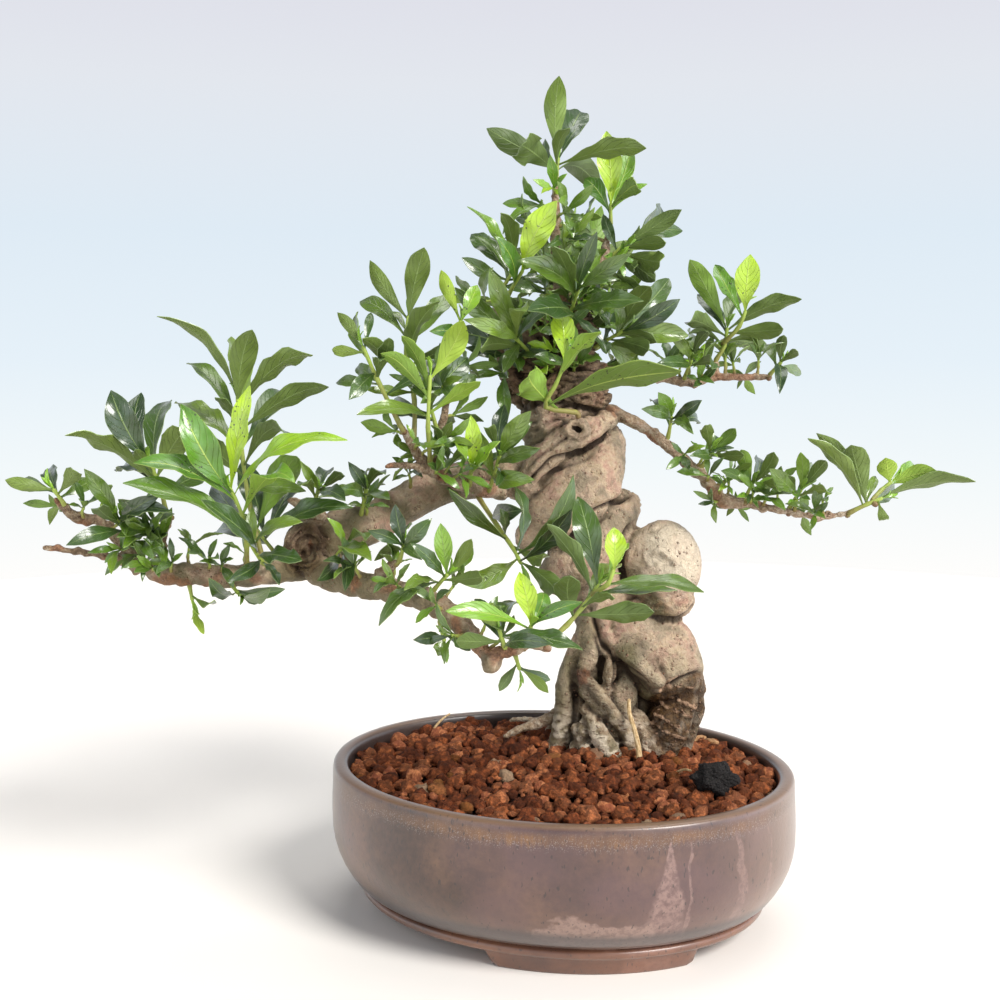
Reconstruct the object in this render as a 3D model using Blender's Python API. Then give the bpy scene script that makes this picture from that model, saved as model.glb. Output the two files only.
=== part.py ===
"""Gardenia bonsai in its oval glazed pot.

The model stands on its feet at z = 0, with +Z up, +X along the pot's long side
and the origin under the middle of everything. Sizes below are in millimetres.
The tree has its own front, turned a little from the pot's long side, so its
pieces are laid out in a tree frame: x to the right, y to the back, z up.
"""

import math
import random

import bmesh
import bpy
from mathutils import Matrix, Vector
from mathutils.bvhtree import BVHTree
from mathutils.geometry import delaunay_2d_cdt

MM = 0.001
GAP = 0.3
TREE_TURN = math.radians(20.0)

# Pot: half length and half width of the rim, then wall heights
RIM_HALF_LENGTH = 93.0
RIM_HALF_WIDTH = 79.0
RIM_HEIGHT = 59.5
LIP_WIDTH = 5.6
WALL = 6.4
UNDERSIDE_HEIGHT = 6.6
FLOOR_HEIGHT = 13.0
POT_SEGMENTS = 32
FOOT_ANGLES = (-65.0, 55.0, 175.0)
FOOT_HALF_SPAN = 31.0
FOOT_DEPTH = 10.0
DRAIN_RADIUS = 7.0
DRAIN_SPACING = 38.0
SCREEN_SIZE = 24.0
SCREEN_THICKNESS = 0.8

# Soil: height at the wall, rise of the bed, and rise round the trunk
SOIL_EDGE_HEIGHT = 53.6
SOIL_RISE = 3.4
TRUNK_MOUND = 2.2
TRUNK_FOOT = (27.0, 22.0)
GRAIN_SPACING = 6.6
GRAIN_RELIEF = 2.3
SOIL_SEED = 11

# Blades: thickness of large and small leaves, and the length that parts them
LARGE_BLADE_THICKNESS = 0.7
SMALL_BLADE_THICKNESS = 0.6
LARGE_BLADE_LENGTH = 38.0
TINY_BLADE_LENGTH = 20.0
LARGE_BLADE_STATIONS = ((0.36, 0.82), (0.68, 0.95))
SMALL_BLADE_STATIONS = ((0.58, 1.0),)
BLADE_ROOT = 0.25
LEAF_BREADTH = 0.275
FRONT_EYE = (-24.0, -538.0, 220.0)
FREE_FROM = 0.12
LEAF_ATTEMPTS = 40
LEAF_TURN = 0.6
BLADE_FOLD = 0.22
BLADE_ARCH = 0.10
LEAF_SEED = 7
STEM_SIDES = 4

# Wood that grew as one: name, sides, then points of x, y, z and radius
LOBES = (
    ("neck", 8, ((2, 36, 240, 4.6), (5, 36, 230, 6.8), (6, 35, 220, 9.4), (5, 34, 210, 11.8),
                 (1, 33, 199, 16.2), (3, 32, 187, 16.6), (6, 33, 176, 13.0))),
    ("neck band", 6, ((20, 27, 194, 4.8), (8, 18, 190, 5.6), (-6, 17, 180, 6.2), (-13, 21, 168, 5.6))),
    ("upper lobe", 9, ((-10, 26, 147, 8.0), (0, 24, 157, 13.6), (11, 27, 170, 15.6), (19, 32, 184, 10.2))),
    ("middle lobe", 8, ((28, 33, 158, 7.6), (20, 28, 149, 11.6), (8, 27, 137, 13.6), (1, 28, 131, 9.2))),
    ("core", 8, ((10, 36, 153, 15.6), (17, 35, 133, 16.6), (23, 34, 114, 16.4), (31, 36, 97, 15.4),
                 (37, 38, 79, 14.6), (34, 35, 62, 13.4), (33, 34, 46, 11.4))),
    ("lower lobe", 8, ((24, 26, 110, 10.4), (35, 23, 101, 14.2), (45, 26, 92, 16.4), (52, 30, 82, 11.4))),
    ("nose", 6, ((32, 15, 100, 8.6), (37, 11, 93, 6.0), (40, 10, 87, 3.6))),
    ("right root", 7, ((56, 28, 88, 6.6), (54, 26, 77, 8.2), (50, 23, 65, 8.0), (47, 22, 50, 7.4))),
    ("left mass", 7, ((18, 26, 112, 10.0), (13, 22, 98, 8.6), (11, 20, 86, 6.4))),
    ("root one", 5, ((10, 21, 87, 4.2), (7, 23, 72, 3.9), (4, 24, 60, 3.6), (2, 24, 48, 3.6))),
    ("root two", 5, ((9, 16, 91, 4.2), (15, 12, 84, 4.0), (20, 11, 78, 3.8), (26, 12, 70, 3.6),
                     (30, 14, 60, 3.8), (31, 15, 48, 3.8))),
    ("small strand", 4, ((22, 15, 100, 2.4), (21, 12, 93, 2.8), (20, 13, 85, 2.2))),
    ("plate", 6, ((28, 20, 94, 5.0), (27, 18, 84, 6.4), (23, 17, 72, 6.6), (20, 15, 60, 6.8), (20, 15, 48, 6.0))),
    ("root three", 5, ((15, 14, 77, 3.2), (11, 13, 68, 3.8), (8, 13, 58, 3.9), (7, 13, 48, 3.4))),
    ("right planks", 4, ((32, 17, 74, 3.0), (38, 14, 67, 3.0), (43, 12, 60, 3.0), (45, 12, 48, 3.0))),
    ("back root", 5, ((16, 43, 92, 7.0), (12, 46, 76, 5.6), (8, 48, 62, 4.8), (7, 49, 48, 4.4))),
    ("back right root", 6, ((44, 42, 88, 8.0), (45, 44, 74, 7.0), (45, 45, 62, 6.4), (44, 45, 48, 6.0))),
    ("left back root", 4, ((8, 34, 82, 4.6), (2, 38, 70, 3.2), (-2, 40, 58, 2.8), (-3, 40, 48, 2.6))),
    ("standing dry root", 4, ((29, 9, 81, 0.8), (28, 6, 76, 0.9), (31, 2, 68, 1.1), (32, -2, 56, 1.4),
                              (32, -3, 48, 1.3))),
    ("left stub", 6, ((-3, 34, 199, 7.6), (-15, 34, 207, 6.4), (-20, 34, 221, 5.2), (-22, 33, 229, 3.8))),
    ("left limb", 7, ((2, 32, 166, 11.0), (-10, 29, 169, 9.4), (-26, 27, 171, 8.3), (-44, 23, 169, 8.0),
                      (-56, 19, 165, 8.1), (-66, 14, 159, 8.0), (-76, 9, 154, 8.2), (-88, 4, 150, 9.6),
                      (-98, 0, 146, 9.0))),
    ("limb stub", 4, ((-94, -2, 158, 3.2), (-105, -6, 165, 2.0))),
    ("left branch", 6, ((-98, -3, 140, 7.0), (-109, -6, 138, 5.6), (-125, -10, 136, 4.6), (-139, -14, 137, 4.3),
                        (-152, -17, 138, 4.3), (-161, -19, 141, 3.1), (-172, -21, 145, 1.9),
                        (-183, -23, 147, 1.4), (-195, -25, 149, 1.2))),
    ("left side twig", 4, ((-158, -18, 140, 2.5), (-165, -19, 147, 2.5), (-171, -20, 154, 2.4),
                           (-176, -22, 159, 2.2), (-183, -24, 160, 2.1), (-187, -25, 164, 1.8),
                           (-190, -26, 167, 1.4))),
    ("left upright twig", 4, ((-153, -17, 140, 2.3), (-154, -14, 150, 2.2), (-151, -13, 159, 1.8))),
    ("front branch", 6, ((-100, -4, 141, 6.6), (-91, -14, 137, 5.4), (-77, -24, 135, 4.9), (-63, -33, 134, 4.6),
                         (-51, -42, 132, 4.4), (-42, -48, 128, 4.2), (-35, -53, 122, 3.7),
                         (-30, -57, 117, 3.4), (-27, -60, 113, 3.4))),
    ("front branch twig", 4, ((-72, -28, 137, 2.2), (-65, -32, 142, 1.9), (-62, -34, 145, 1.5))),
    ("front end twig", 4, ((-29, -58, 116, 2.5), (-20, -60, 117, 2.1), (-13, -60, 120, 2.1), (-7, -60, 118, 1.8))),
    ("centre branch", 5, ((-22, 25, 166, 4.4), (-34, 10, 168, 3.3), (-43, 0, 172, 2.8), (-50, -6, 176, 2.4),
                          (-56, -10, 184, 2.0), (-61, -12, 193, 1.7))),
    ("centre branch twig", 4, ((-50, -6, 176, 1.9), (-58, -12, 179, 1.5), (-67, -16, 179, 1.2))),
    ("centre upright twig", 4, ((-49, -5, 175, 2.2), (-47, -3, 191, 1.9), (-43, -2, 210, 1.6), (-42, -2, 221, 1.4))),
    ("right branch", 5, ((12, 34, 200, 5.0), (29, 30, 195, 3.0), (43, 27, 186, 2.8), (53, 24, 177, 2.7),
                         (61, 22, 170, 2.7), (67, 20, 162, 3.3), (78, 18, 161, 2.1), (93, 16, 158, 1.7),
                         (105, 14, 156, 1.4), (117, 13, 158, 1.2))),
    ("upper right branch", 4, ((8, 36, 216, 5.0), (28, 38, 214, 2.6), (48, 40, 211, 2.1), (57, 41, 210, 2.0),
                               (67, 42, 212, 1.9), (79, 43, 212, 1.7), (90, 44, 212, 1.5))),
    ("upper right twig", 4, ((67, 42, 212, 1.8), (67, 42, 218, 1.5))),
    ("crown left twig", 4, ((-20, 34, 224, 4.0), (-24, 30, 238, 2.7), (-25, 28, 248, 1.9))),
    ("crown stem", 5, ((4, 36, 230, 6.0), (1, 36, 248, 3.3), (-1, 36, 264, 2.5), (-1, 36, 283, 1.9),
                       (-1, 36, 293, 1.5))),
    ("crown right twig", 4, ((5, 38, 234, 4.4), (14, 40, 248, 2.6), (19, 42, 262, 2.1), (22, 42, 274, 1.7))),
)
# Swellings: name, centre, radii
SWELLINGS = (
    ("ball", (43, 26, 135), (16.6, 16.0, 18.4)),
    ("ball foot", (44, 27, 121), (13.6, 14.0, 10.6)),
    ("knuckle", (-97, -1, 148), (8.6, 8.0, 10.4)),
    ("end knob", (-27, -60, 113), (4.2, 4.2, 4.4)),
)
# Rolled callus rings: name, centre, ring radii across and up, thickness, turn about z
CALLUSES = (
    ("limb scar", (-100, -8, 148), 5.4, 7.0, 3.4, 12.0),
    ("knot hole", (8, 12, 195), 3.6, 2.8, 2.2, -8.0),
)
ROOTS_IN_SOIL = (
    "core", "right root", "root one", "root two", "plate", "root three", "right planks",
    "back root", "back right root", "left back root", "standing dry root",
)

# Leafy shoots: name, tone, carrier, stem points, then for each leaf its place
# along the stem, its tip and the width it shows to someone in front of the tree
SHOOTS = (
    ("crown_top", "dark", "wood", ((-1, 36, 291), (0, 36, 301)), (
        (1.0, (0, 30, 333), 11), (0.6, (-29, 22, 311), 10), (0.0, (-15, 8, 302), 14),
        (0.5, (34, 14, 303), 9), (0.9, (11, 66, 325), 11), (0.2, (-6, 74, 310), 11),
        (0.0, (20, 78, 294), 11))),
    ("crown_fresh", "fresh", "wood", ((22, 42, 273), (22, 40, 283)), (
        (1.0, (19, 36, 313), 12), (0.8, (32, 16, 289), 9), (0.7, (32, 60, 308), 9),
        (0.3, (13, 62, 296), 9))),
    ("crown_right", "dark", "wood", ((19, 42, 260), (27, 40, 266)), (
        (1.0, (50, 30, 280), 9), (0.9, (58, 44, 277), 8), (0.7, (43, 20, 266), 8),
        (0.4, (41, 16, 258), 10), (0.2, (40, 30, 251), 10), (0.8, (49, 72, 286), 10))),
    ("crown_left", "dark", "wood", ((-24, 28, 247), (-18, 26, 256)), (
        (1.0, (-36, 22, 281), 5), (0.9, (-23, 4, 277), 8), (0.6, (-36, 44, 272), 8),
        (0.3, (-39, 20, 260), 8), (0.2, (-29, 60, 271), 9))),
    ("crown_fresh_left", "fresh", "wood", ((-24, 30, 238), (-20, 17, 246), (-15, 8, 254)), (
        (1.0, (-2, -4, 280), 13), (0.5, (-24, -8, 265), 7))),
    ("crown_core_front", "dark", "wood", ((4, 22, 236), (7, 8, 247)), (
        (1.0, (25, -10, 259), 8), (0.9, (14, -8, 268), 8), (0.7, (-2, -20, 264), 8),
        (0.6, (-16, -16, 258), 8), (0.3, (29, -16, 242), 10), (0.2, (-13, -24, 238), 9))),
    ("crown_core_back", "dark", "wood", ((7, 50, 244), (13, 66, 258)), (
        (1.0, (21, 84, 286), 12), (0.9, (-1, 90, 284), 12), (0.6, (40, 96, 276), 12),
        (0.4, (-15, 96, 269), 12), (0.2, (23, 112, 252), 13), (0.2, (39, 90, 251), 12))),
    ("crown_back_low", "dark", "wood", ((2, 56, 226), (3, 72, 232)), (
        (1.0, (4, 96, 260), 13), (0.9, (-24, 104, 247), 13), (0.7, (32, 108, 247), 13),
        (0.3, (-10, 118, 228), 13), (0.3, (19, 120, 226), 13), (0.5, (-33, 84, 235), 12))),
    ("crown_shoot", "fresh", "wood", ((-6, 2, 201), (-2, -2, 210), (2, -4, 220)), (
        (1.0, (2, -6, 244), 10), (0.2, (44, -22, 214), 9), (0.0, (-13, -20, 213), 15),
        (0.6, (14, -20, 230), 6))),
    ("crown_mid_left", "dark", "wood", ((-12, 22, 222), (-19, 8, 229)), (
        (1.0, (-41, 0, 247), 9), (0.8, (-35, -14, 235), 8), (0.6, (-28, -2, 254), 9),
        (0.3, (-31, -16, 223), 9), (0.3, (-42, 24, 231), 10), (0.7, (-16, -22, 245), 8))),
    ("crown_mid_right", "dark", "wood", ((16, 30, 225), (26, 22, 231)), (
        (1.0, (47, 10, 243), 9), (0.9, (35, 4, 248), 9), (0.6, (53, 24, 229), 9),
        (0.4, (34, -2, 223), 9), (0.3, (34, 30, 217), 8), (0.7, (47, 44, 253), 10))),
    ("centre_top", "dark", "wood", ((-57, -9, 186), (-57, -4, 204), (-60, -6, 222), (-59, -6, 236)), (
        (1.0, (-73, -14, 257), 8), (0.95, (-52, -20, 261), 10), (0.8, (-80, 16, 243), 9),
        (0.7, (-42, 14, 247), 9), (0.5, (-46, -30, 241), 8), (0.3, (-76, -26, 227), 7))),
    ("centre_top_fresh", "fresh", "wood", ((-42, -2, 225), (-39, -4, 234)), (
        (1.0, (-46, -12, 253), 7), (0.8, (-32, 8, 247), 7), (0.5, (-50, -20, 230), 6))),
    ("centre_left", "dark", "wood", ((-63, -14, 197), (-70, -18, 212), (-75, -20, 224)), (
        (1.0, (-84, -26, 237), 5), (0.95, (-85, -34, 223), 5), (0.8, (-79, 0, 238), 6),
        (0.6, (-79, -34, 205), 7), (0.4, (-80, 0, 216), 7), (0.5, (-64, -36, 227), 6))),
    ("centre_fresh", "fresh", "wood", ((-51, -7, 177), (-51, -19, 194), (-50, -21, 213)), (
        (1.0, (-37, -28, 234), 10), (0.5, (-31, -36, 211), 7), (0.8, (-60, -30, 228), 6),
        (0.7, (-68, -34, 223), 7))),
    ("centre_mid", "dark", "wood", ((-47, -3, 189), (-51, -7, 203)), (
        (1.0, (-39, 0, 225), 14), (0.8, (-36, 14, 215), 10), (0.6, (-48, 24, 223), 10),
        (0.2, (-73, -24, 214), 10), (0.1, (-77, -28, 199), 7), (0.5, (-68, 16, 203), 9))),
    ("centre_yellow", "fresh", "wood", ((-34, 2, 170), (-35, -4, 177)), (
        (1.0, (-35, -10, 198), 8), (0.5, (-24, -16, 189), 5))),
    ("centre_right", "dark", "wood", ((-28, 10, 169), (-24, -4, 182)), (
        (1.0, (-12, -14, 200), 8), (0.9, (-22, 4, 202), 7), (0.7, (-9, -20, 186), 8),
        (0.5, (-35, -16, 189), 7), (0.2, (-12, -16, 174), 8), (0.6, (-31, -24, 199), 6))),
    ("left_tall", "dark", "wood", ((-116, -8, 141), (-122, -4, 165), (-125, -2, 188), (-126, -2, 205)), (
        (1.0, (-152, -8, 238), 6), (0.95, (-117, -16, 232), 12), (0.92, (-94, -22, 224), 10),
        (0.8, (-149, 16, 220), 9), (0.75, (-90, -8, 211), 9), (0.8, (-137, 40, 228), 10),
        (0.6, (-115, 36, 207), 11), (0.55, (-158, 30, 201), 10), (0.45, (-100, -36, 194), 10),
        (0.35, (-134, -34, 190), 10))),
    ("left_fresh", "fresh", "wood", ((-122, -10, 137), (-120, -21, 149), (-120, -26, 160), (-124, -30, 172)), (
        (1.0, (-116, -32, 210), 9), (0.95, (-139, -40, 203), 14), (0.9, (-81, -44, 193), 7),
        (0.8, (-154, -44, 185), 6), (0.6, (-97, -60, 181), 6))),
    ("left_low", "dark", "wood", ((-112, -7, 138), (-114, -22, 143), (-117, -31, 152)), (
        (1.0, (-160, -44, 175), 6), (0.8, (-95, -50, 162), 6), (0.6, (-130, -56, 170), 7),
        (0.4, (-122, -44, 140), 7), (0.5, (-95, -50, 148), 6))),
    ("left_inner", "dark", "wood", ((-112, -2, 143), (-120, 0, 153)), (
        (1.0, (-101, -12, 184), 13), (0.7, (-82, -18, 175), 8), (0.8, (-144, 30, 174), 11),
        (0.5, (-107, 30, 170), 10), (0.3, (-143, 34, 148), 10), (0.5, (-128, 14, 179), 11))),
    ("left_outer", "dark", "wood", ((-151, -13, 158), (-154, -14, 171), (-157, -16, 180)), (
        (1.0, (-170, -20, 208), 12), (0.9, (-165, 6, 206), 9), (0.6, (-140, -28, 194), 13),
        (0.4, (-183, -34, 193), 8), (0.7, (-159, 26, 203), 10), (0.3, (-179, 22, 175), 10),
        (0.2, (-142, 10, 175), 9))),
    ("left_outer_low", "dark", "wood", ((-165, -19, 149), (-167, -26, 160)), (
        (1.0, (-175, -40, 180), 7), (0.8, (-150, -44, 176), 7), (0.6, (-168, -50, 168), 7),
        (0.5, (-144, -46, 166), 6), (0.3, (-180, -44, 154), 6))),
    ("left_tip", "dark", "wood", ((-187, -26, 165), (-190, -28, 171)), (
        (1.0, (-204, -40, 176), 7), (0.8, (-206, -20, 173), 6), (0.6, (-178, -40, 181), 7),
        (0.5, (-199, -4, 177), 7), (0.3, (-179, -14, 174), 7))),
    ("left_hanging", "fresh", "wood", ((-143, -16, 133), (-142, -17, 128)), (
        (1.0, (-136, -24, 116), 3), (0.6, (-130, -34, 131), 3))),
    ("left_under", "dark", "wood", ((-127, -14, 133), (-124, -20, 131)), (
        (1.0, (-109, -36, 135), 4), (0.8, (-130, -40, 138), 4), (0.6, (-117, -10, 126), 5),
        (0.5, (-106, -20, 132), 5))),
    ("limb_top_one", "dark", "wood", ((-98, -4, 160), (-94, -10, 169)), (
        (1.0, (-99, -20, 181), 5), (0.9, (-82, -24, 178), 5), (0.7, (-81, -34, 168), 5),
        (0.6, (-101, -34, 172), 5), (0.5, (-93, 16, 175), 6), (0.4, (-81, 4, 168), 5))),
    ("limb_top_two", "dark", "wood", ((-78, 0, 161), (-76, -4, 169)), (
        (1.0, (-82, -10, 180), 5), (0.9, (-67, -20, 178), 5), (0.7, (-65, -26, 167), 4),
        (0.5, (-84, -24, 171), 5), (0.5, (-76, 20, 175), 5))),
    ("limb_under", "dark", "wood", ((-89, -12, 142), (-83, -24, 149)), (
        (1.0, (-86, -36, 161), 4), (0.9, (-70, -44, 158), 4), (0.7, (-70, -50, 148), 5),
        (0.5, (-90, -40, 139), 5), (0.6, (-80, -44, 136), 5))),
    ("lower_twig", "dark", "wood", ((-61, -35, 146), (-59, -38, 152)), (
        (1.0, (-62, -40, 167), 6), (0.9, (-49, -46, 162), 6), (0.8, (-71, -46, 158), 5),
        (0.6, (-52, -54, 149), 5), (0.7, (-59, -10, 154), 5), (0.5, (-71, -20, 144), 5))),
    ("lower_mid", "dark", "wood", ((-50, -42, 133), (-43, -46, 142)), (
        (1.0, (-45, -50, 161), 8), (0.9, (-34, -54, 156), 7), (0.8, (-54, -60, 155), 6),
        (0.6, (-29, -60, 144), 6), (0.4, (-67, -60, 128), 5), (0.5, (-35, -24, 150), 7),
        (0.3, (-57, -64, 140), 4))),
    ("lower_under", "dark", "wood", ((-46, -45, 128), (-44, -51, 119)), (
        (1.0, (-46, -54, 114), 6), (0.8, (-54, -60, 121), 5), (0.6, (-35, -40, 113), 5))),
    ("knob_fresh", "fresh", "wood", ((-17, -64, 122), (-13, -66, 127)), (
        (1.0, (-17, -68, 146), 8), (0.9, (4, -74, 137), 6), (0.8, (-42, -78, 135), 7),
        (0.7, (-8, -52, 137), 7))),
    ("knob_dark", "dark", "wood", ((-22, -64, 119), (-24, -64, 125)), (
        (1.0, (-30, -70, 136), 9), (0.9, (4, -82, 127), 7), (0.8, (-34, -58, 142), 7),
        (0.6, (-11, -90, 137), 7), (0.5, (-39, -80, 125), 6), (0.4, (-16, -36, 131), 7))),
    ("knob_low", "dark", "wood", ((-18, -60, 114), (-17, -61, 111)), (
        (1.0, (-7, -68, 104), 4), (0.8, (-6, -58, 106), 4), (0.5, (-24, -66, 104), 4))),
    ("front_shoot", "dark", "wood", ((-8, -60, 119), (0, -58, 126), (8, -56, 135), (11, -56, 140)), (
        (1.0, (4, -48, 171), 11), (0.98, (48, -60, 139), 6), (0.95, (-7, -60, 166), 6),
        (0.85, (41, -40, 135), 6), (0.35, (29, -72, 133), 8), (0.3, (0, -76, 146), 13),
        (0.6, (21, -30, 145), 7))),
    ("front_fresh", "fresh", "front_shoot", ((9, -58, 137), (14, -61, 141), (16, -61, 146)), (
        (1.0, (16, -60, 161), 9), (0.5, (23, -44, 153), 5))),
    ("limb_shoot", "dark", "wood", ((-32, 12, 164), (-25, -4, 155), (-19, -18, 148), (-16, -24, 143)), (
        (0.9, (4, -34, 175), 9), (1.0, (2, -44, 166), 8), (0.6, (-43, -24, 171), 7),
        (0.75, (-18, -10, 176), 5), (0.3, (-9, -20, 164), 8), (1.0, (-3, -44, 135), 9),
        (0.95, (-38, -46, 139), 7), (0.7, (-7, -40, 147), 7))),
    ("right_low_one", "dark", "wood", ((45, 26, 188), (46, 22, 196)), (
        (1.0, (40, 16, 206), 6), (0.9, (56, 10, 203), 6), (0.7, (32, 6, 200), 6),
        (0.6, (51, 0, 192), 5), (0.5, (61, 44, 194), 6), (0.4, (40, 46, 202), 6))),
    ("right_low_two", "dark", "wood", ((58, 22, 175), (62, 20, 182)), (
        (1.0, (71, 14, 192), 6), (0.9, (57, 4, 194), 6), (0.7, (73, 4, 182), 6),
        (0.5, (51, 0, 182), 5), (0.6, (73, 42, 186), 6))),
    ("right_low_three", "dark", "wood", ((76, 18, 163), (78, 16, 169)), (
        (1.0, (72, 8, 184), 6), (0.9, (84, 2, 183), 6), (0.7, (63, 0, 176), 5),
        (0.5, (85, -6, 169), 5), (0.6, (86, 40, 179), 6))),
    ("right_low_four", "dark", "wood", ((94, 16, 160), (97, 12, 167)), (
        (1.0, (95, 4, 183), 7), (0.9, (104, -2, 181), 6), (0.7, (81, -4, 177), 6),
        (0.5, (104, -10, 169), 5), (0.6, (109, 38, 175), 7))),
    ("right_end", "dark", "wood", ((117, 12, 158), (124, 10, 162), (129, 10, 164)), (
        (0.4, (114, 2, 187), 14), (0.6, (110, 22, 196), 7), (0.1, (91, -4, 188), 7),
        (1.0, (164, 2, 171), 7), (0.9, (127, -6, 157), 5), (0.3, (145, 34, 174), 8))),
    ("right_end_fresh", "fresh", "right_end", ((125, 10, 162), (130, 14, 167), (134, 15, 170)), (
        (1.0, (132, 16, 180), 9), (0.9, (151, 4, 173), 9), (0.6, (147, 26, 177), 7))),
    ("right_up_main", "dark", "wood", ((67, 42, 219), (70, 40, 225), (71, 40, 232)), (
        (1.0, (53, 26, 260), 10), (0.95, (98, 22, 244), 9), (0.9, (63, 62, 249), 10),
        (0.7, (88, 14, 231), 8), (0.6, (52, 12, 235), 8), (0.4, (94, 66, 223), 9),
        (0.8, (87, 76, 250), 10))),
    ("right_up_fresh", "fresh", "right_up_main", ((70, 39, 227), (75, 34, 233), (77, 32, 239)), (
        (1.0, (78, 28, 262), 11), (0.8, (67, 50, 259), 7))),
    ("right_up_end", "dark", "wood", ((91, 44, 214), (94, 42, 218)), (
        (1.0, (94, 36, 230), 5), (0.9, (99, 30, 223), 5), (0.7, (90, 20, 207), 6),
        (0.6, (106, 58, 213), 5), (0.5, (91, 60, 226), 6))),
    ("right_up_mid", "dark", "wood", ((53, 36, 213), (55, 32, 219)), (
        (1.0, (45, 22, 231), 6), (0.9, (60, 18, 231), 6), (0.7, (40, 10, 219), 6),
        (0.5, (61, 8, 217), 5), (0.6, (58, 60, 232), 6))),
)
# Further leaves by rule on the fuller shoots: how many, and their length
MORE_LEAVES = {
    "crown_top": (2, 26.0),
    "crown_fresh": (1, 20.0),
    "crown_right": (3, 24.0),
    "crown_left": (4, 24.0),
    "crown_core_front": (4, 24.0),
    "crown_core_back": (2, 26.0),
    "crown_mid_left": (4, 22.0),
    "crown_mid_right": (5, 23.0),
    "centre_top": (3, 22.0),
    "centre_left": (4, 22.0),
    "centre_mid": (4, 22.0),
    "centre_right": (4, 20.0),
    "left_tall": (3, 26.0),
    "left_low": (2, 20.0),
    "left_inner": (2, 22.0),
    "left_outer": (2, 22.0),
    "limb_shoot": (1, 20.0),
    "front_shoot": (1, 20.0),
    "right_up_main": (3, 22.0),
    "right_end": (1, 18.0),
}
STEM_BASE_RADIUS = 1.25
STEM_TIP_RADIUS = 0.9

# Loose things on the soil, in the tree frame: x, y, then size or turn, and for
# each straw its turn, length and slope
LAVA_LUMP = (57.0, -34.0, 8.4)
BARK_CHIPS = ((61.0, 38.0, 40.0), (66.0, 30.0, 115.0))
CHIP_SIZE = (9.0, 4.2, 2.4)
STRAWS = ((47.0, -21.0, -75.0, 15.0, 18.0), (-50.0, 57.0, 115.0, 10.0, 40.0))
STRAW_RADIUS = 0.6

# Finishes: colour, roughness, metallic
FINISHES = {
    "glazed_stoneware": ((0.16, 0.125, 0.11), 0.38, 0.0),
    "screen_plastic": ((0.02, 0.02, 0.02), 0.6, 0.0),
    "baked_clay_granules": ((0.29, 0.095, 0.04), 0.95, 0.0),
    "bark": ((0.36, 0.28, 0.19), 0.85, 0.0),
    "dark_leaf": ((0.035, 0.12, 0.025), 0.4, 0.0),
    "fresh_leaf": ((0.30, 0.52, 0.05), 0.45, 0.0),
    "lava": ((0.012, 0.012, 0.013), 0.9, 0.0),
    "dry_bark": ((0.42, 0.25, 0.14), 0.85, 0.0),
    "straw": ((0.62, 0.48, 0.28), 0.8, 0.0),
}


def clear_scene():
    for item in list(bpy.data.objects):
        bpy.data.objects.remove(item, do_unlink=True)


def finish(name):
    material = bpy.data.materials.get(name)
    if material:
        return material
    colour, roughness, metallic = FINISHES[name]
    material = bpy.data.materials.new(name)
    material.use_nodes = True
    shader = material.node_tree.nodes["Principled BSDF"]
    shader.inputs["Base Color"].default_value = (*colour, 1.0)
    shader.inputs["Roughness"].default_value = roughness
    shader.inputs["Metallic"].default_value = metallic
    material.diffuse_color = (*colour, 1.0)
    return material


def add_object(name, solid, material_name, parent=None):
    points, faces = solid
    mesh = bpy.data.meshes.new(name)
    mesh.from_pydata([Vector(point) * MM for point in points], [], faces)
    mesh.materials.append(finish(material_name))
    item = bpy.data.objects.new(name, mesh)
    bpy.context.scene.collection.objects.link(item)
    item.parent = parent
    return item


def face_outwards(mesh):
    work = bmesh.new()
    work.from_mesh(mesh)
    bmesh.ops.recalc_face_normals(work, faces=work.faces)
    work.to_mesh(mesh)
    work.free()


# Solids are pairs of points and faces, in millimetres


def rings_to_faces(ring_count, sides, closed_ends=True):
    """Faces between stacked rings, wound to face out when the rings turn left going up."""
    faces = []
    for ring in range(ring_count - 1):
        low = ring * sides
        high = low + sides
        for side in range(sides):
            after = (side + 1) % sides
            faces.append((low + side, low + after, high + after, high + side))
    if closed_ends:
        faces.append(tuple(reversed(range(sides))))
        faces.append(tuple(range((ring_count - 1) * sides, ring_count * sides)))
    return faces


def path_frames(points):
    """Tangent and two side directions at each point, carried along without twist."""
    frames = []
    side = None
    for index, point in enumerate(points):
        before = points[max(index - 1, 0)]
        after = points[min(index + 1, len(points) - 1)]
        tangent = (after - before).normalized()
        if side is None:
            reference = Vector((0.0, 0.0, 1.0))
            if abs(tangent.z) > 0.9:
                reference = Vector((1.0, 0.0, 0.0))
            side = tangent.cross(reference).normalized()
        side = (side - tangent * side.dot(tangent)).normalized()
        frames.append((tangent, side, tangent.cross(side)))
    return frames


def limb(sides, route, seed, grow=0.0, rough=0.06):
    """A closed tube with rounded ends along points of x, y, z and radius."""
    rng = random.Random(seed)
    centres = [Vector(item[:3]) for item in route]
    radii = [item[3] + grow for item in route]
    frames = path_frames(centres)
    stations = []
    first_tangent = frames[0][0]
    last_tangent = frames[-1][0]
    stations.append((centres[0] - first_tangent * radii[0] * 0.62, radii[0] * 0.62, frames[0]))
    for centre, radius, frame in zip(centres, radii, frames):
        stations.append((centre, radius, frame))
    stations.append((centres[-1] + last_tangent * radii[-1] * 0.62, radii[-1] * 0.62, frames[-1]))
    points = []
    for centre, radius, frame in stations:
        for index in range(sides):
            angle = 2.0 * math.pi * index / sides
            reach = (radius - grow) * (1.0 + rough * rng.uniform(-1.0, 1.0)) + grow
            points.append(centre + (frame[1] * math.cos(angle) + frame[2] * math.sin(angle)) * reach)
    faces = rings_to_faces(len(stations), sides)
    return points, faces


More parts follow.
